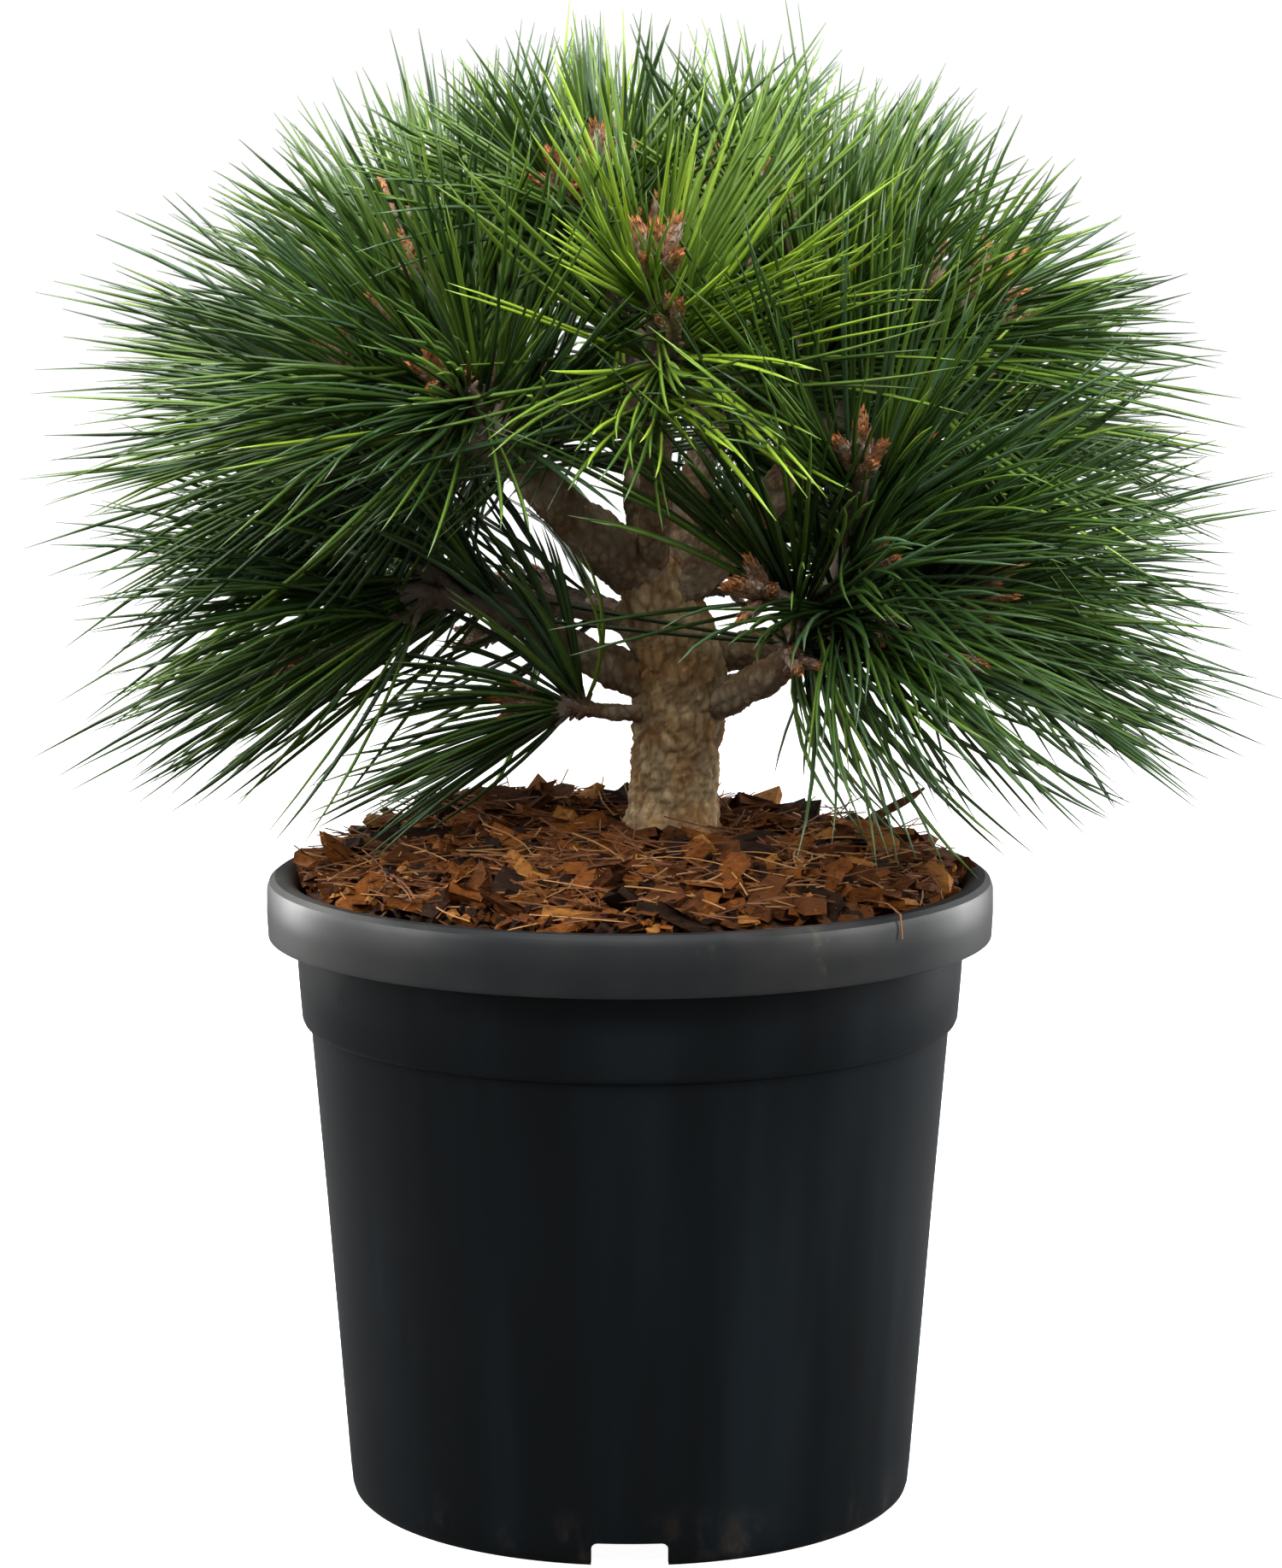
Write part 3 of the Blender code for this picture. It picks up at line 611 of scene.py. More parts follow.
# Loose stick and long fibre: a split stick leans out of the coir at the back right, and one long
# fibre hangs over the front of the rim. Both lie where the filling was poured and never tidied.
STICK_FOOT = (0.074, 0.062)
STICK_SINK = 0.002
STICK_LEAN = (0.72, -0.10, 0.55)
STICK_LENGTH = 0.034
STICK_RADIUS = 0.0017
STICK_GIRTH = (1.0, 1.05, 0.95, 1.1, 0.9, 1.0, 0.85, 0.7, 0.25)
STICK_WAVE = 0.0012
STICK_WAVE_TURN = 5
STICK_SIDES = 8
STICK_COLOUR = (0.110, 0.048, 0.020)
LONG_FIBRE_ROUTE = (
    (0.074, -0.070, 0.2105),
    (0.081, -0.080, 0.2110),
    (0.0845, -0.0850, 0.2085),
    (0.0850, -0.0865, 0.2010),
)
LONG_FIBRE_RADIUS = 0.00035
LONG_FIBRE_SIDES = 4
LONG_FIBRE_COLOUR = (0.20, 0.085, 0.024)

foot = np.array([*STICK_FOOT, soil_height(*STICK_FOOT) - STICK_SINK])
lean = unit(np.array(STICK_LEAN))
line = foot + lean * STICK_LENGTH * np.linspace(0, 1, len(STICK_GIRTH))[:, None]
line[:, 2] += STICK_WAVE * np.sin(np.linspace(0, STICK_WAVE_TURN, len(STICK_GIRTH)))
girth = STICK_RADIUS * np.array(STICK_GIRTH)
stick = tubes(line[None], girth[None], STICK_SIDES)
joined("coir_stick", [stick], coir("stick_brown", STICK_COLOUR))

line = np.array(LONG_FIBRE_ROUTE)
finish = Finish("long_fibre", LONG_FIBRE_COLOUR, FIBRE_ROUGHNESS)
fibre = tubes(line[None], np.full((1, len(line)), LONG_FIBRE_RADIUS), LONG_FIBRE_SIDES)
joined("coir_long_fibre", [fibre], finish.material)


# Bark: the trunk and its boughs are one plant, with plates of grey-brown bark parted by dark cracks.
# Each limb is drawn round its path with the relief of the plates pushed into its skin.
TRUNK_ROUNDING = 15
TRUNK_STEPS = 150
TRUNK_SIDES = 110
TRUNK_PLATE = 0.0050
# The trunk's height, its place along X and its radius at each station.
TRUNK_STATIONS = (
    (0.2207, 0.0135, 0.0168),
    (0.2290, 0.0142, 0.0144),
    (0.2590, 0.0157, 0.0145),
    (0.2730, 0.0166, 0.0150),
    (0.2870, 0.0146, 0.0138),
    (0.2990, 0.0088, 0.0112),
    (0.3110, 0.0058, 0.0106),
    (0.3175, 0.0060, 0.0075),
)
# Each bough's height on the trunk, azimuth, elevation, length, and radius at its root and its tip.
BOUGHS = {
    "left_leader": (0.3080, -52, 36, 0.070, 0.0088, 0.0060),
    "front_leader": (0.3060, 2, 50, 0.066, 0.0056, 0.0046),
    "top_leader": (0.3080, -150, 80, 0.066, 0.0070, 0.0050),
    "right_leader": (0.2960, 76, 47, 0.068, 0.0072, 0.0050),
    "back_leader": (0.2960, 160, 50, 0.066, 0.0070, 0.0050),
    "back_left_leader": (0.2990, -120, 38, 0.066, 0.0068, 0.0050),
    "left_bough": (0.2690, -86, 24, 0.056, 0.0072, 0.0054),
    "right_bough": (0.2610, 66, 26, 0.046, 0.0070, 0.0052),
    "back_right_bough": (0.2790, 112, 10, 0.058, 0.0066, 0.0048),
    "back_left_bough": (0.2760, -162, 12, 0.058, 0.0066, 0.0048),
    "low_twig": (0.2625, -64, 3, 0.034, 0.0030, 0.0026),
}
BOUGH_BEND = 0.10
BOUGH_STEPS = 70
BOUGH_SIDES = 56
BOUGH_PLATE = 0.0040
KNOBBLE = 0.05
KNOBBLE_TURN = 19
ROOT_FLARE = 0.25
ROOT_FLARE_FALL = 9
RELIEF_DEPTH = 0.0011
BOUGH_RELIEF = 0.7
THIN_BOUGH_RELIEF = 0.35
THIN_BOUGH = 0.004
PLATE_SQUEEZE = np.array([1.0, 1.0, 0.55])
PLATE_CROWDING = 2.2
SPARE_PLATES = 8
CRACK_WIDTH = 0.30
GOLDEN_SHARE = 0.618034
POINTS_AT_ONCE = 4000
# The fine roughness: its scale, and the fall, spacing and number of its octaves.
ROUGH_SCALE = 420
ROUGH_OCTAVES = (0.7, 2.0, 5)
BROAD_SCALE = 110
PLATE_SWELL = 0.7
PLATE_LEVEL = 0.5
PLATE_STEP = 0.6
ROUGH_SWELL = 0.75
BROAD_SWELL = 0.9
BARK_ROUGHNESS = 0.92
BARK_SHEEN = 0.2
TRUNK_COLOURS = ((0.360, 0.190, 0.072), (0.450, 0.330, 0.180), (0.070, 0.036, 0.016))
BOUGH_COLOURS = ((0.230, 0.138, 0.070), (0.340, 0.262, 0.170), (0.060, 0.036, 0.020))


def direction(azimuth, elevation):
    """The unit vector of an azimuth from the front and an elevation, in degrees."""
    turn = math.radians(azimuth)
    rise = math.radians(elevation)
    level = math.cos(rise)
    return np.array([math.sin(turn) * level, -math.cos(turn) * level, math.sin(rise)])


def mix(first, second, share):
    return first + (second - first) * share


def curve_between(start, bend, end, steps):
    """A curve that leaves the start towards the bend and comes from there to the end."""
    share = np.linspace(0.0, 1.0, steps + 1)[:, None]
    return (1 - share) ** 2 * start + 2 * share * (1 - share) * bend + share**2 * end


def bark_relief(points, plate, depth):
    """How far the bark stands in or out at each point, and how deep in a crack the point lies."""
    low = points.min(0) - plate
    high = points.max(0) + plate
    count = int(np.prod((high - low) * PLATE_SQUEEZE / plate) * PLATE_CROWDING) + SPARE_PLATES
    seeds = rng.uniform(low, high, (count, 3)) * PLATE_SQUEEZE
    crack = np.empty(len(points))
    tone = np.empty(len(points))
    for start in range(0, len(points), POINTS_AT_ONCE):
        some = slice(start, start + POINTS_AT_ONCE)
        away = np.linalg.norm((points[some] * PLATE_SQUEEZE)[:, None] - seeds, axis=2)
        two = np.partition(away, 1, axis=1)[:, :2]
        crack[some] = np.clip((two[:, 1] - two[:, 0]) / (CRACK_WIDTH * plate), 0, 1)
        tone[some] = (away.argmin(1) * GOLDEN_SHARE) % 1.0
    rough = np.array([noise.fractal(Vector(spot) * ROUGH_SCALE, *ROUGH_OCTAVES) for spot in points])
    broad = np.array([noise.noise(Vector(spot) * BROAD_SCALE) for spot in points])
    plates = depth * (PLATE_SWELL * crack - PLATE_LEVEL + PLATE_STEP * tone)
    push = plates + depth * ROUGH_SWELL * rough + depth * BROAD_SWELL * broad
    return push, 1 - crack


def bark(name, warm, grey, dark):
    """Bark from grey to warm brown, dark in its cracks."""
    finish = Finish(name, warm, BARK_ROUGHNESS)
    broad = finish.grain(scale=70, detail=5)
    fine = finish.grain(scale=520, detail=6, stretch=(1, 1, 0.5), rough=0.7)
    crack = finish.node("ShaderNodeAttribute", {"attribute_name": "crack"}, {}, "Fac")
    colour = finish.mix(broad.between(0.38, 0.62), warm, grey)
    colour = finish.mix(fine.between(0.52, 0.74) * 0.6, colour, shade(grey, 1.9))
    colour = finish.mix(crack * 0.55, colour, dark)
    finish.set("Base Color", colour)
    finish.set("Specular IOR Level", BARK_SHEEN)
    finish.bump(fine, strength=0.8, distance=0.0008)
    return finish.material


def limb_piece(name, path, radii, sides, plate, depth, material):
    """A closed limb round its path, with the bark's relief in its skin."""
    points, faces = tubes(path[None], radii[None], sides)
    middle = np.repeat(path, sides, axis=0)
    push, crack = bark_relief(points, plate, depth)
    points = points + unit(points - middle) * push[:, None]
    piece = joined(name, [(points, faces)], material, smooth=True)
    mark = piece.data.attributes.new("crack", "FLOAT", "POINT")
    mark.data.foreach_set("value", crack.astype(np.float32))
    return piece


def smooth_rows(rows, steps):
    """The rows read at many heights, with their corners rounded."""
    rows = np.array(rows)
    heights = np.linspace(rows[0, 0], rows[-1, 0], steps)
    columns = [np.interp(heights, rows[:, 0], rows[:, k]) for k in (1, 2)]
    window = np.hanning(TRUNK_ROUNDING)
    window /= window.sum()
    padded = [np.pad(column, TRUNK_ROUNDING // 2, mode="edge") for column in columns]
    return heights, *[np.convolve(column, window, mode="valid") for column in padded]


trunk_bark = bark("trunk_bark", *TRUNK_COLOURS)
bough_bark = bark("bough_bark", *BOUGH_COLOURS)

heights, places, radii = smooth_rows(TRUNK_STATIONS, TRUNK_STEPS)
trunk_line = np.stack([places, np.zeros(len(heights)), heights], 1)
trunk = limb_piece("trunk_bark_skin", trunk_line, radii, TRUNK_SIDES, TRUNK_PLATE, RELIEF_DEPTH, trunk_bark)
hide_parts("trunk")

bough_lines = {}
knobbles = KNOBBLE * np.sin(np.linspace(0, KNOBBLE_TURN, BOUGH_STEPS + 1))
flare = ROOT_FLARE * np.exp(-np.linspace(0, ROOT_FLARE_FALL, BOUGH_STEPS + 1))
for name, (height, azimuth, elevation, length, root, tip) in BOUGHS.items():
    start = np.array([np.interp(height, heights, places), 0.0, height])
    end = start + direction(azimuth, elevation) * length
    bend = mix(start, end, 0.5) - np.array([0.0, 0.0, BOUGH_BEND * length])
    line = curve_between(start, bend, end, BOUGH_STEPS)
    radii = np.linspace(root, tip, BOUGH_STEPS + 1) * (1 + knobbles + flare)
    depth = RELIEF_DEPTH * (BOUGH_RELIEF if root > THIN_BOUGH else THIN_BOUGH_RELIEF)
    piece = limb_piece(name + "_bark_skin", line, radii, BOUGH_SIDES, BOUGH_PLATE, depth, bough_bark)
    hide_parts(name)
    bough_lines[name] = line


# Shoots: each bough ends in a few shoots, which stand as in the solids. Each shoot carries two side
# twigs, apart from the low twig's. The wood is knobbly with the stubs of shed leaves.
CROWN_MIDDLE = np.array([0.008, 0.0, 0.300])
# The azimuth, the elevation and the reach of each shoot's end, seen from the crown's middle.
SHOOTS = {
    "left_leader": ((-42, 38, 0.120), (-80, 30, 0.124), (-98, 55, 0.145)),
    "front_leader": ((0, 50, 0.142),),
    "top_leader": ((-41, 73, 0.137), (150, 78, 0.134)),
    "right_leader": ((74, 43, 0.145), (64, 70, 0.130), (102, 18, 0.126)),
    "back_leader": ((172, 52, 0.136), (140, 30, 0.128), (120, 54, 0.134)),
    "back_left_leader": ((-140, 55, 0.134), (-118, 26, 0.128), (-158, 24, 0.126)),
    "left_bough": ((-84, 3, 0.098),),
    "right_bough": ((22, 6, 0.088), (35, 24, 0.120), (66, 4, 0.108)),
    "back_right_bough": ((95, -8, 0.112), (128, 0, 0.114)),
    "back_left_bough": ((163, 0, 0.112), (-162, -6, 0.112), (-122, -3, 0.112)),
    "low_twig": ((-63, -37, 0.055),),
}
LOW_TWIG_SCALE = 0.7
STEM_SETBACK = 0.0026
STEM_STAGGER = 0.0053
STEM_BEND = 0.45
STEM_STEPS = 24
STEM_RADII = (0.0036, 0.0029)
STEM_STUBS = 46
SIDE_TWIGS = 2
SIDE_TWIG_SCALE = 0.85
SIDE_TWIG_LENGTH = (0.030, 0.044)
SIDE_TWIG_LEAN = (34, 50)
SIDE_TWIG_STRAY = 0.5
SIDE_TWIG_FIRST = 10
SIDE_TWIG_STAGGER = 4
SIDE_TWIG_BEND = 0.55
SIDE_TWIG_SIDEWAYS = 0.75
SIDE_TWIG_FORWARD = 0.35
SIDE_TWIG_STEPS = 14
SIDE_TWIG_RADII = (0.0028, 0.0024)
SIDE_TWIG_STUBS = 26
WOOD_SIDES = 9
WOOD_GIRTH = 1.1
WOOD_KNOBBLE = 0.10
WOOD_KNOBBLE_TURN = 1.7
STUB_LEAN = (0.5, 1.3)
STUB_LENGTH = (0.0030, 0.0056)
STUB_SHARES = np.array([0.0, 0.6, 1.0])
STUB_RADII = (0.0011, 0.0010, 0.0004)
STUB_SIDES = 4
TWIG_COLOURS = ((0.160, 0.098, 0.066), (0.250, 0.200, 0.160), (0.050, 0.032, 0.022))
GOLDEN_ANGLE = math.radians(137.508)
OFF_AXIS = (0.3, 0.5, 0.8)


def around(across, beside, turn):
    """The unit vector at one turn round an axis."""
    return math.cos(turn) * across + math.sin(turn) * beside


def all_around(across, beside, turns):
    """The unit vectors at many turns round an axis."""
    return np.cos(turns)[:, None] * across + np.sin(turns)[:, None] * beside


def cross_frame(axis):
    """Two unit vectors across the axis and each other."""
    across = unit(np.cross(axis, OFF_AXIS))
    return across, np.cross(axis, across)


def end_axis(line):
    """The way in which a line ends."""
    return unit(line[-1] - line[-3])


def lengths_along(line):
    """How far along the line each of its points lies."""
    return np.r_[0, np.cumsum(np.linalg.norm(np.diff(line, axis=0), axis=1))]


def points_at(line, stations):
    """The points that lie so far along the line."""
    lengths = lengths_along(line)
    return np.stack([np.interp(stations, lengths, column) for column in line.T], 1)


def side_twig_line(stem, number, axis, outward, reach):
    """A side twig's curve, from its place on the stem out along the axis and then forward."""
    foot = stem[SIDE_TWIG_FIRST + SIDE_TWIG_STAGGER * number]
    bend = foot + axis * reach * SIDE_TWIG_BEND
    tip = foot + (axis * SIDE_TWIG_SIDEWAYS + outward * SIDE_TWIG_FORWARD) * reach
    return curve_between(foot, bend, tip, SIDE_TWIG_STEPS)


twigs = []
for bough, ends in SHOOTS.items():
    line = bough_lines[bough]
    tangent = unit(line[-1] - line[-8])
    low = bough == "low_twig"
    scale = LOW_TWIG_SCALE if low else 1.0
    for i, (azimuth, elevation, reach) in enumerate(ends):
        outward = direction(azimuth, elevation)
        start = line[-1] - tangent * (STEM_SETBACK + i * STEM_STAGGER)
        end = CROWN_MIDDLE + outward * reach
        away = unit(tangent + unit(end - start))
        bend = start + away * np.linalg.norm(end - start) * STEM_BEND
        stem = curve_between(start, bend, end, STEM_STEPS)
        twigs.append({"bough": bough, "line": stem, "scale": scale, "side": False})
        across, beside = cross_frame(outward)
        turn = rng.uniform(0, 2 * math.pi)
        for k in range(0 if low else SIDE_TWIGS):
            lean = math.radians(rng.uniform(*SIDE_TWIG_LEAN))
            stray = rng.uniform(-SIDE_TWIG_STRAY, SIDE_TWIG_STRAY)
            side = around(across, beside, turn + 2 * math.pi * k / SIDE_TWIGS + stray)
            side = unit(outward * math.cos(lean) + side * math.sin(lean))
            reach_out = rng.uniform(*SIDE_TWIG_LENGTH) * scale
            twig = side_twig_line(stem, k, side, outward, reach_out)
            twigs.append({"bough": bough, "line": twig, "scale": scale * SIDE_TWIG_SCALE, "side": True})

wood = []
for twig in twigs:
    line = twig["line"]
    root, tip = SIDE_TWIG_RADII if twig["side"] else STEM_RADII
    radii = np.linspace(root, tip, len(line)) * min(1.0, twig["scale"] * WOOD_GIRTH)
    radii *= 1 + WOOD_KNOBBLE * np.sin(np.arange(len(line)) * WOOD_KNOBBLE_TURN)
    wood.append(tubes(line[None], radii[None], WOOD_SIDES))
    stubs = SIDE_TWIG_STUBS if twig["side"] else STEM_STUBS
    axis = end_axis(line)
    number = np.arange(stubs)
    spots = points_at(line, lengths_along(line)[-1] * (number + 0.5) / stubs)
    out = all_around(*cross_frame(axis), number * GOLDEN_ANGLE)
    out = unit(out + axis * rng.uniform(*STUB_LEAN, (stubs, 1)))
    size = rng.uniform(*STUB_LENGTH, (stubs, 1, 1))
    pegs = spots[:, None] + out[:, None] * size * STUB_SHARES[None, :, None]
    wood.append(tubes(pegs, np.tile(STUB_RADII, (stubs, 1)), STUB_SIDES))
masses = [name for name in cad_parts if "_foliage_" in name]
shoot_wood = joined("shoot_wood", wood, bark("twig_bark", *TWIG_COLOURS), smooth=True)
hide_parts(*masses)


# Buds: each twig ends in a candle with smaller ones round it, wrapped in thin brown scales that are
# orange at the tip and white with resin in places. The scales overlap in a spiral on a spindle.
BUD_LENGTH = 0.021
BUD_RADIUS = 0.0039
# How thick the candle is at each share of its length.
BUD_PROFILE = ((0.0, 0.62), (0.12, 0.86), (0.3, 1.0), (0.55, 0.95), (0.78, 0.62), (0.93, 0.28), (1.0, 0.05))
SPINDLE_GIRTH = 0.86
SPINDLE_SIDES = 8
BUD_SCALES = 44
SCALED_SHARE = 0.96
SCALE_SEAT = 0.85
SCALE_LENGTH = 0.0042
SCALE_HALF_WIDTH = 0.00125
SCALE_GAPE = (0.0002, 0.0011)
SCALE_KEEL = 0.0007
SCALE_KEEL_RISE = 0.001
SCALE_FACES = np.array([(0, 2, 1), (0, 1, 3), (1, 2, 3), (2, 0, 3)])
ORANGE_FROM = (0.60, 0.80)
RESIN_SHARE = 0.16
RESIN_TOP = 0.8
STEM_BUD_SIZE = 1.05
STEM_BUD_RING = 4
SIDE_BUD_SIZE = 0.72
SIDE_BUD_RING = 2
BUD_SINK = 0.001
RING_SINK = 0.002
RING_OFFSET = 0.0014
RING_LEAN = (20, 34)
RING_STRAY = 0.25
RING_SIZE = (0.7, 0.9)
BUD_ROUGHNESS = 0.7
BUD_COLOURS = {
    "bud_brown": (0.330, 0.185, 0.110),
    "bud_orange": (0.520, 0.210, 0.065),
    "bud_resin": (0.620, 0.540, 0.470),
}
bud_parts = {name: [] for name in BUD_COLOURS}


def bud(root, along, size):
    """A spindle under a spiral of scales, whose colour depends on how near the tip they stand."""
    share, girth = np.array(BUD_PROFILE).T
    girth = girth * BUD_RADIUS * size * SPINDLE_GIRTH
    line = root + along * BUD_LENGTH * size * share[:, None]
    bud_parts["bud_brown"].append(tubes(line[None], girth[None], SPINDLE_SIDES))
    number = np.arange(BUD_SCALES)
    height = SCALED_SHARE * number / BUD_SCALES
    out = all_around(*cross_frame(along), number * GOLDEN_ANGLE)
    wall = np.interp(height, share, girth)[:, None]
    foot = root + along * (BUD_LENGTH * size * height)[:, None] + out * wall * SCALE_SEAT
    tip = foot + along * SCALE_LENGTH * size + out * rng.uniform(*SCALE_GAPE, (BUD_SCALES, 1)) * size
    side = np.cross(along, out) * SCALE_HALF_WIDTH * size
    keel = foot + out * SCALE_KEEL * size + along * SCALE_KEEL_RISE
    corners = np.stack([foot - side, foot + side, tip, keel], 1)
    near_tip = height > rng.uniform(*ORANGE_FROM, BUD_SCALES)
    resin = (rng.uniform(0, 1, BUD_SCALES) < RESIN_SHARE) & (height < RESIN_TOP)
    for name, chosen in (
        ("bud_resin", resin),
        ("bud_orange", near_tip & ~resin),
        ("bud_brown", ~near_tip & ~resin),
    ):
        picked = corners[chosen]
        if len(picked):
            faces = repeated(SCALE_FACES, len(picked), picked.shape[1])
            bud_parts[name].append((picked.reshape(-1, 3), faces))


for twig in twigs:
    end = twig["line"][-1]
    axis = end_axis(twig["line"])
    across, beside = cross_frame(axis)
    size, ring = (SIDE_BUD_SIZE, SIDE_BUD_RING) if twig["side"] else (STEM_BUD_SIZE, STEM_BUD_RING)
    size *= twig["scale"] if twig["bough"] == "low_twig" else 1.0
    bud(end - axis * BUD_SINK, axis, size)
    turn = rng.uniform(0, 2 * math.pi)
    for k in range(ring):
        lean = math.radians(rng.uniform(*RING_LEAN))
        stray = rng.uniform(-RING_STRAY, RING_STRAY)
        away = around(across, beside, turn + k * math.pi / 2 + stray)
        along = math.cos(lean) * axis + math.sin(lean) * away
        bud(end - axis * RING_SINK + away * RING_OFFSET, along, size * rng.uniform(*RING_SIZE))

for name, colour in BUD_COLOURS.items():
    finish = Finish(name, colour, BUD_ROUGHNESS)
    scales = finish.grain(scale=700, detail=4)
    finish.set("Base Color", finish.mix(scales.between(0.35, 0.6), shade(colour, 0.45), colour))
    joined(name, bud_parts[name], finish.material)


# Needles: stiff half-round leaves in pairs out of a pale sheath, wide-angled and hanging a little low
# on a shoot and close to it near the bud. Each tint is dealt out pair by pair and joined into pieces.
NEEDLE_LENGTH = 0.128
NEEDLE_LENGTHS = (0.78, 1.14)
NEEDLE_STEPS = 6
NEEDLE_HALF_WIDTH = 0.00110
NEEDLE_WIDTHS = (0.85, 1.1)
NEEDLE_SIDES = 3
NEEDLE_FLATNESS = 0.72
# How wide a needle is, from its root to its tip: the shares of its length, and of its width.
NEEDLE_TAPER = ((0, 0.15, 0.75, 1.0), (0.7, 1.0, 0.9, 0.08))
NEEDLE_ROUGHNESS = 0.36
NEEDLE_SHEEN = 0.45
NEEDLE_ROOT = 0.0015
NEEDLE_SAG = 0.15
FORWARD_BEND = 0.20
STRAY = 0.13
SWAY = 0.07
TURN_STRAY = 0.2
NARROW_SPREAD = 22
WIDE_SPREAD = 72
SPREAD_CURVE = 0.75
SPREAD_RANGE = (0.72, 1.12)
PAIR_SPREAD = (1.5, 5.5)
PAIR_LENGTHS = (0.95, 1.0)
MAIN_PAIRS = 72
SIDE_PAIRS = 23
LOW_TWIG_PAIRS = 0.6
NEEDLE_FIRST = 0.010
NEEDLE_LAST = 0.070
NEEDLED_SHARE = 0.85
BUD_SHORTENING = 0.30
BUD_SHORTENING_FALL = 7
NEW_SHOOTS = {"front_leader"}
NEW_STRETCH = 0.35
NEW_LENGTH = 0.55
OLD_LENGTH = 0.95
PIECE_LIMIT = 5200
SHEATH_LENGTH = 0.007
SHEATH_SHARES = np.array([0.0, 0.5, 1.0])
SHEATH_RADII = (0.0013, 0.0012, 0.0009)
SHEATH_SIDES = 3
SHEATH_COLOUR = (0.200, 0.165, 0.120)
SHEATH_ROUGHNESS = 0.8
# The crown's outline is an ellipsoid. A needle that it would cut far too short is left out.
OUTLINE_MIDDLE = np.array([0.002, -0.002, 0.300])
OUTLINE_SIZE = np.array([0.212, 0.198, 0.192])
OUTLINE_RANGE = (0.93, 1.03)
SHORTEST = 0.45
REACH_X = 0.2150
REACH_TOP = 0.4990
UNDERSIDE = 0.212
UNDERSIDE_SLOPE = 0.35
LIP_MARGIN = 0.002
GROUND_MARGIN = 0.0025
TRUNK_CLEARANCE = 0.018
OPEN_ROUND_TRUNK = 0.050
OPEN_BELOW = 0.283
GAP_STRAYS = 0.05
# Gaps through which the background shows: left, right, lowest and highest.
SKY_WINDOWS = (
    (-0.058, 0.052, 0.200, 0.292),
    (-0.047, 0.006, 0.280, 0.334),
)
TINTS = {
    "deep": (0.0190, 0.0470, 0.0080),
    "forest": (0.0420, 0.0900, 0.0130),
    "bluish": (0.0460, 0.0930, 0.0360),
    "leaf": (0.0780, 0.1450, 0.0180),
    "fresh": (0.1250, 0.2150, 0.0220),
    "new": (0.2200, 0.3400, 0.0260),
}
# The share of each tint, low and high in the crown, and on new shoots.
SHARES_LOW = (0.34, 0.36, 0.20, 0.09, 0.01, 0.0)
SHARES_HIGH = (0.18, 0.32, 0.14, 0.24, 0.10, 0.02)
SHARES_NEW = (0.0, 0.08, 0.02, 0.22, 0.36, 0.32)
LOW_HEIGHT = 0.30
HIGH_RISE = 0.12


def outline_length(root, along):
    """How far it is from each root to the crown's outline."""
    start = (root - OUTLINE_MIDDLE) / OUTLINE_SIZE
    ray = along / OUTLINE_SIZE
    a = (ray * ray).sum(1)
    b = (start * ray).sum(1)
    c = (start * start).sum(1) - 1
    return (-b + np.sqrt(np.maximum(b * b - a * c, 0))) / a


def needle_lines(root, along, axis, sway, length):
    """Needles out of their roots, bent forward to the shoot's axis, down by their weight, and aside."""
    share = np.linspace(0, 1, NEEDLE_STEPS + 1)[None, :, None]
    level = np.hypot(along[:, 0], along[:, 1])[:, None]
    fall = np.zeros_like(along)
    fall[:, 2:] = -NEEDLE_SAG * level
    turned_by = (axis - along) * FORWARD_BEND + fall + sway
    return root[:, None] + length[:, None, None] * (along[:, None] * share + turned_by[:, None] * share**2)


def has_room(lines, low_twig):
    """Whether each needle stays over the soil and the lip, in the crown's reach and out of its gaps."""
    spots = lines[:, 1:]
    radius = np.hypot(spots[..., 0], spots[..., 1])
    ground = np.where(radius < MOUTH_RADIUS, soil_height(spots[..., 0], spots[..., 1]), POT_HEIGHT)
    underside = UNDERSIDE + UNDERSIDE_SLOPE * (radius - LIP_RADIUS)
    ground = np.where(radius < LIP_RADIUS + LIP_MARGIN, ground + GROUND_MARGIN, underside)
    over = (spots[..., 2] > ground).all(1)
    inside = (np.abs(spots[..., 0] - OUTLINE_MIDDLE[0]) < REACH_X) & (spots[..., 2] < REACH_TOP)
    from_trunk = np.hypot(spots[..., 0] - TRUNK_FOOT[0], spots[..., 1])
    gap = (from_trunk < OPEN_ROUND_TRUNK) & (spots[..., 2] < OPEN_BELOW)
    for left, right, low, high in SKY_WINDOWS:
        sideways = (spots[..., 0] > left) & (spots[..., 0] < right)
        gap |= sideways & (spots[..., 2] > low) & (spots[..., 2] < high)
    stray = rng.uniform(0, 1, len(lines)) < GAP_STRAYS
    clear = from_trunk.min(1) > TRUNK_CLEARANCE
    return over & inside.all(1) & (~gap.any(1) | stray | low_twig) & clear


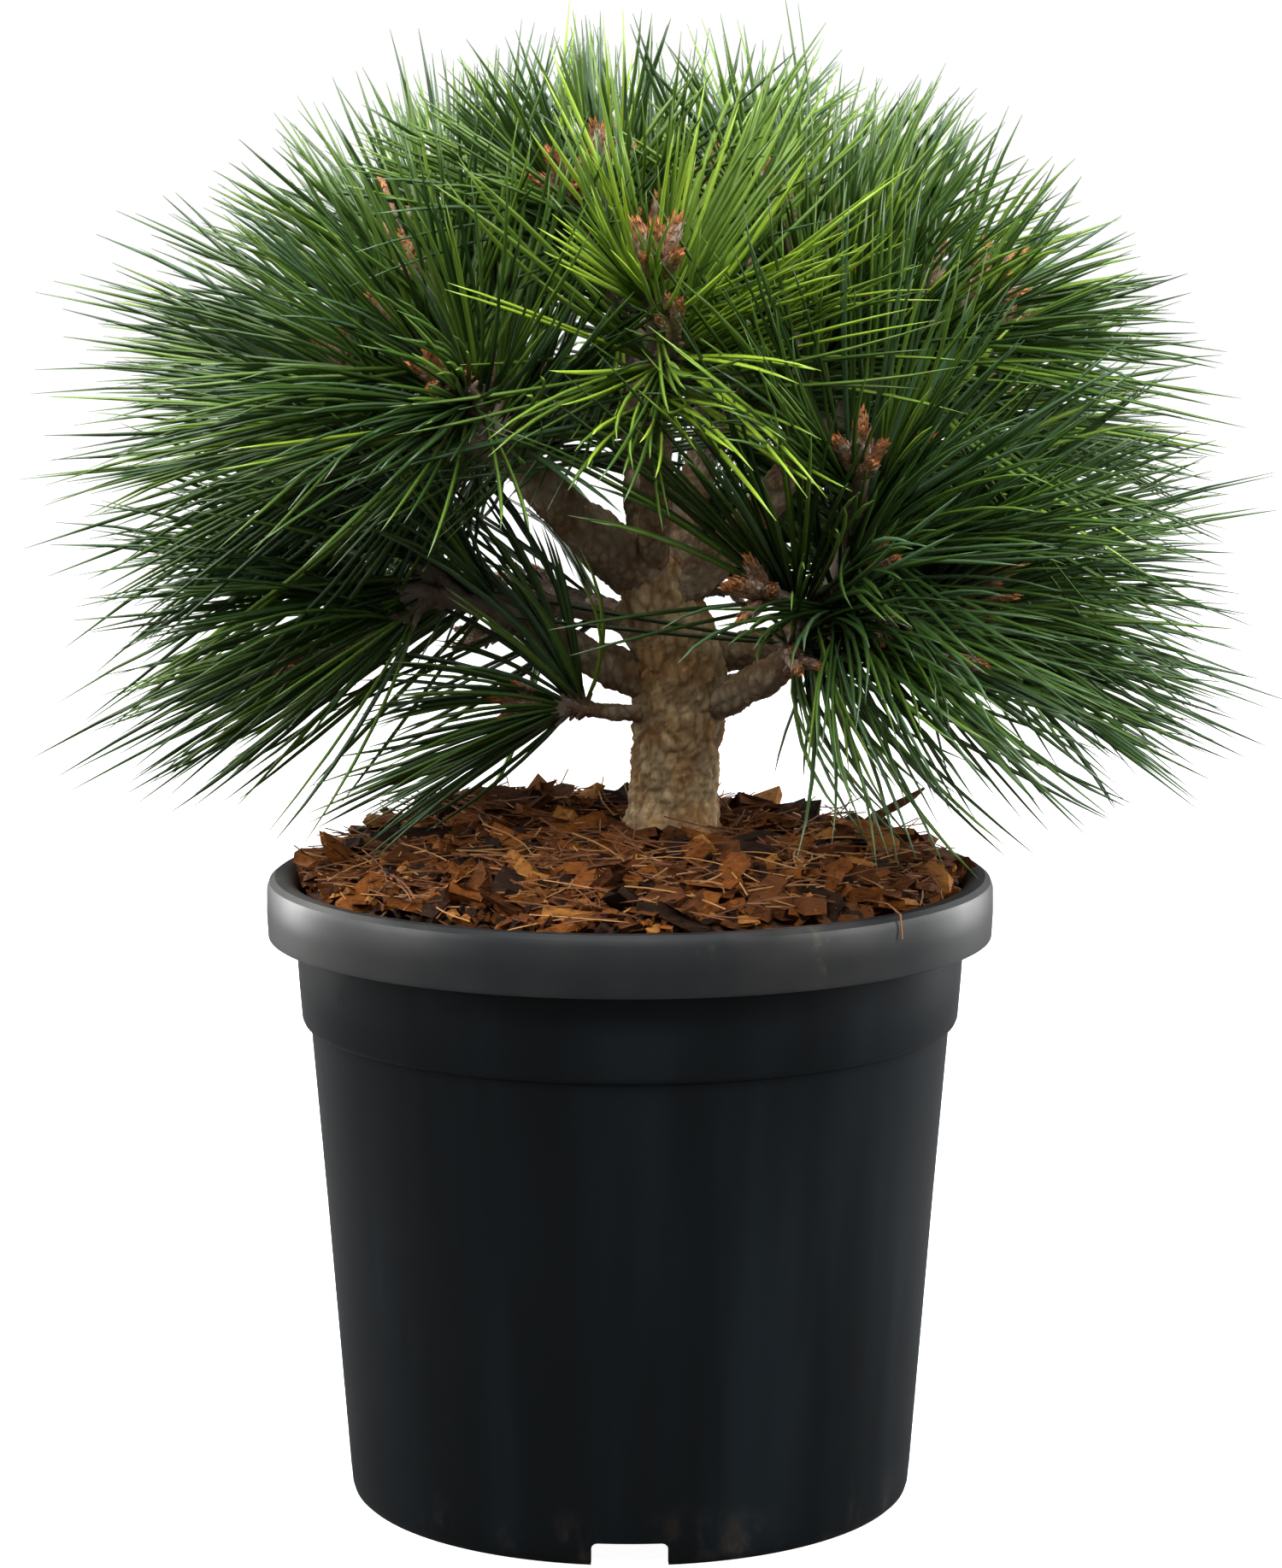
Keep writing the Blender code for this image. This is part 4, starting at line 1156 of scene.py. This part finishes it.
needles = {tint: [] for tint in TINTS}
sheath_lines = []
for twig in twigs:
    line = twig["line"]
    low_twig = twig["bough"] == "low_twig"
    new = twig["bough"] in NEW_SHOOTS
    wanted = SIDE_PAIRS if twig["side"] else MAIN_PAIRS
    wanted = int(wanted * (LOW_TWIG_PAIRS if low_twig else 1.0))
    full = lengths_along(line)[-1]
    stretch = min(NEEDLE_LAST, full * NEEDLED_SHARE)
    axis = end_axis(line)
    back = (np.arange(wanted) * GOLDEN_SHARE) % 1.0
    turns = rng.uniform(0, 2 * math.pi) + np.arange(wanted) * GOLDEN_ANGLE + rng.normal(0, TURN_STRAY, wanted)
    away = all_around(*cross_frame(axis), turns)
    root = points_at(line, full - mix(NEEDLE_FIRST, stretch, back)) + away * NEEDLE_ROOT
    spread = np.radians(mix(NARROW_SPREAD, WIDE_SPREAD, back**SPREAD_CURVE))
    spread = spread * rng.uniform(*SPREAD_RANGE, wanted)
    along = np.cos(spread)[:, None] * axis + np.sin(spread)[:, None] * away
    along = unit(along + rng.normal(0, STRAY, along.shape))
    sway = rng.normal(0, SWAY, along.shape)
    young = 1 - BUD_SHORTENING * np.exp(-back * BUD_SHORTENING_FALL)
    length = NEEDLE_LENGTH * twig["scale"] * young * rng.uniform(*NEEDLE_LENGTHS, wanted)
    if new:
        length *= np.where(back < NEW_STRETCH, NEW_LENGTH, OLD_LENGTH)
    reach = outline_length(root, along) * rng.uniform(*OUTLINE_RANGE, wanted)
    kept = np.minimum(length, reach) > length * SHORTEST
    length = np.minimum(length, reach)
    axes = np.tile(axis, (wanted, 1))
    kept &= has_room(needle_lines(root, along, axes, sway, length), low_twig)
    root, along, axes, sway, length = (array[kept] for array in (root, along, axes, sway, length))
    apart = rng.normal(0, 1, root.shape)
    apart = unit(apart - along * (apart * along).sum(1)[:, None])
    pair = []
    for side in (-1, 1):
        lean = np.radians(rng.uniform(*PAIR_SPREAD, len(root)))[:, None]
        own = unit(along * np.cos(lean) + side * apart * np.sin(lean))
        own_length = length * rng.uniform(*PAIR_LENGTHS, len(root))
        pair.append(needle_lines(root, own, axes, sway, own_length))
    sheath_lines.append(root[:, None] + along[:, None] * SHEATH_LENGTH * SHEATH_SHARES[None, :, None])
    top = np.clip((line[-1][2] - LOW_HEIGHT) / HIGH_RISE, 0, 1)
    shares = np.array(SHARES_NEW) if new else mix(np.array(SHARES_LOW), np.array(SHARES_HIGH), top)
    dealt = rng.choice(len(TINTS), len(root), p=shares / shares.sum())
    for number, tint in enumerate(TINTS):
        needles[tint] += [half[dealt == number] for half in pair]

taper = np.interp(np.linspace(0, 1, NEEDLE_STEPS + 1), *NEEDLE_TAPER)
for tint, colour in TINTS.items():
    lines = np.concatenate(needles[tint])
    finish = Finish("needles_" + tint, colour, NEEDLE_ROUGHNESS)
    finish.set("Specular IOR Level", NEEDLE_SHEEN)
    for number, start in enumerate(range(0, len(lines), PIECE_LIMIT)):
        part = lines[start : start + PIECE_LIMIT]
        widths = NEEDLE_HALF_WIDTH * taper * rng.uniform(*NEEDLE_WIDTHS, (len(part), 1))
        body = tubes(part, widths, NEEDLE_SIDES, NEEDLE_FLATNESS)
        piece = joined(f"needles_{tint}_{number + 1}", [body], finish.material, smooth=True)

sheaths = np.concatenate(sheath_lines)
radii = np.tile(SHEATH_RADII, (len(sheaths), 1))
finish = Finish("sheath_grey", SHEATH_COLOUR, SHEATH_ROUGHNESS)
piece = joined("needle_sheaths", [tubes(sheaths, radii, SHEATH_SIDES)], finish.material)
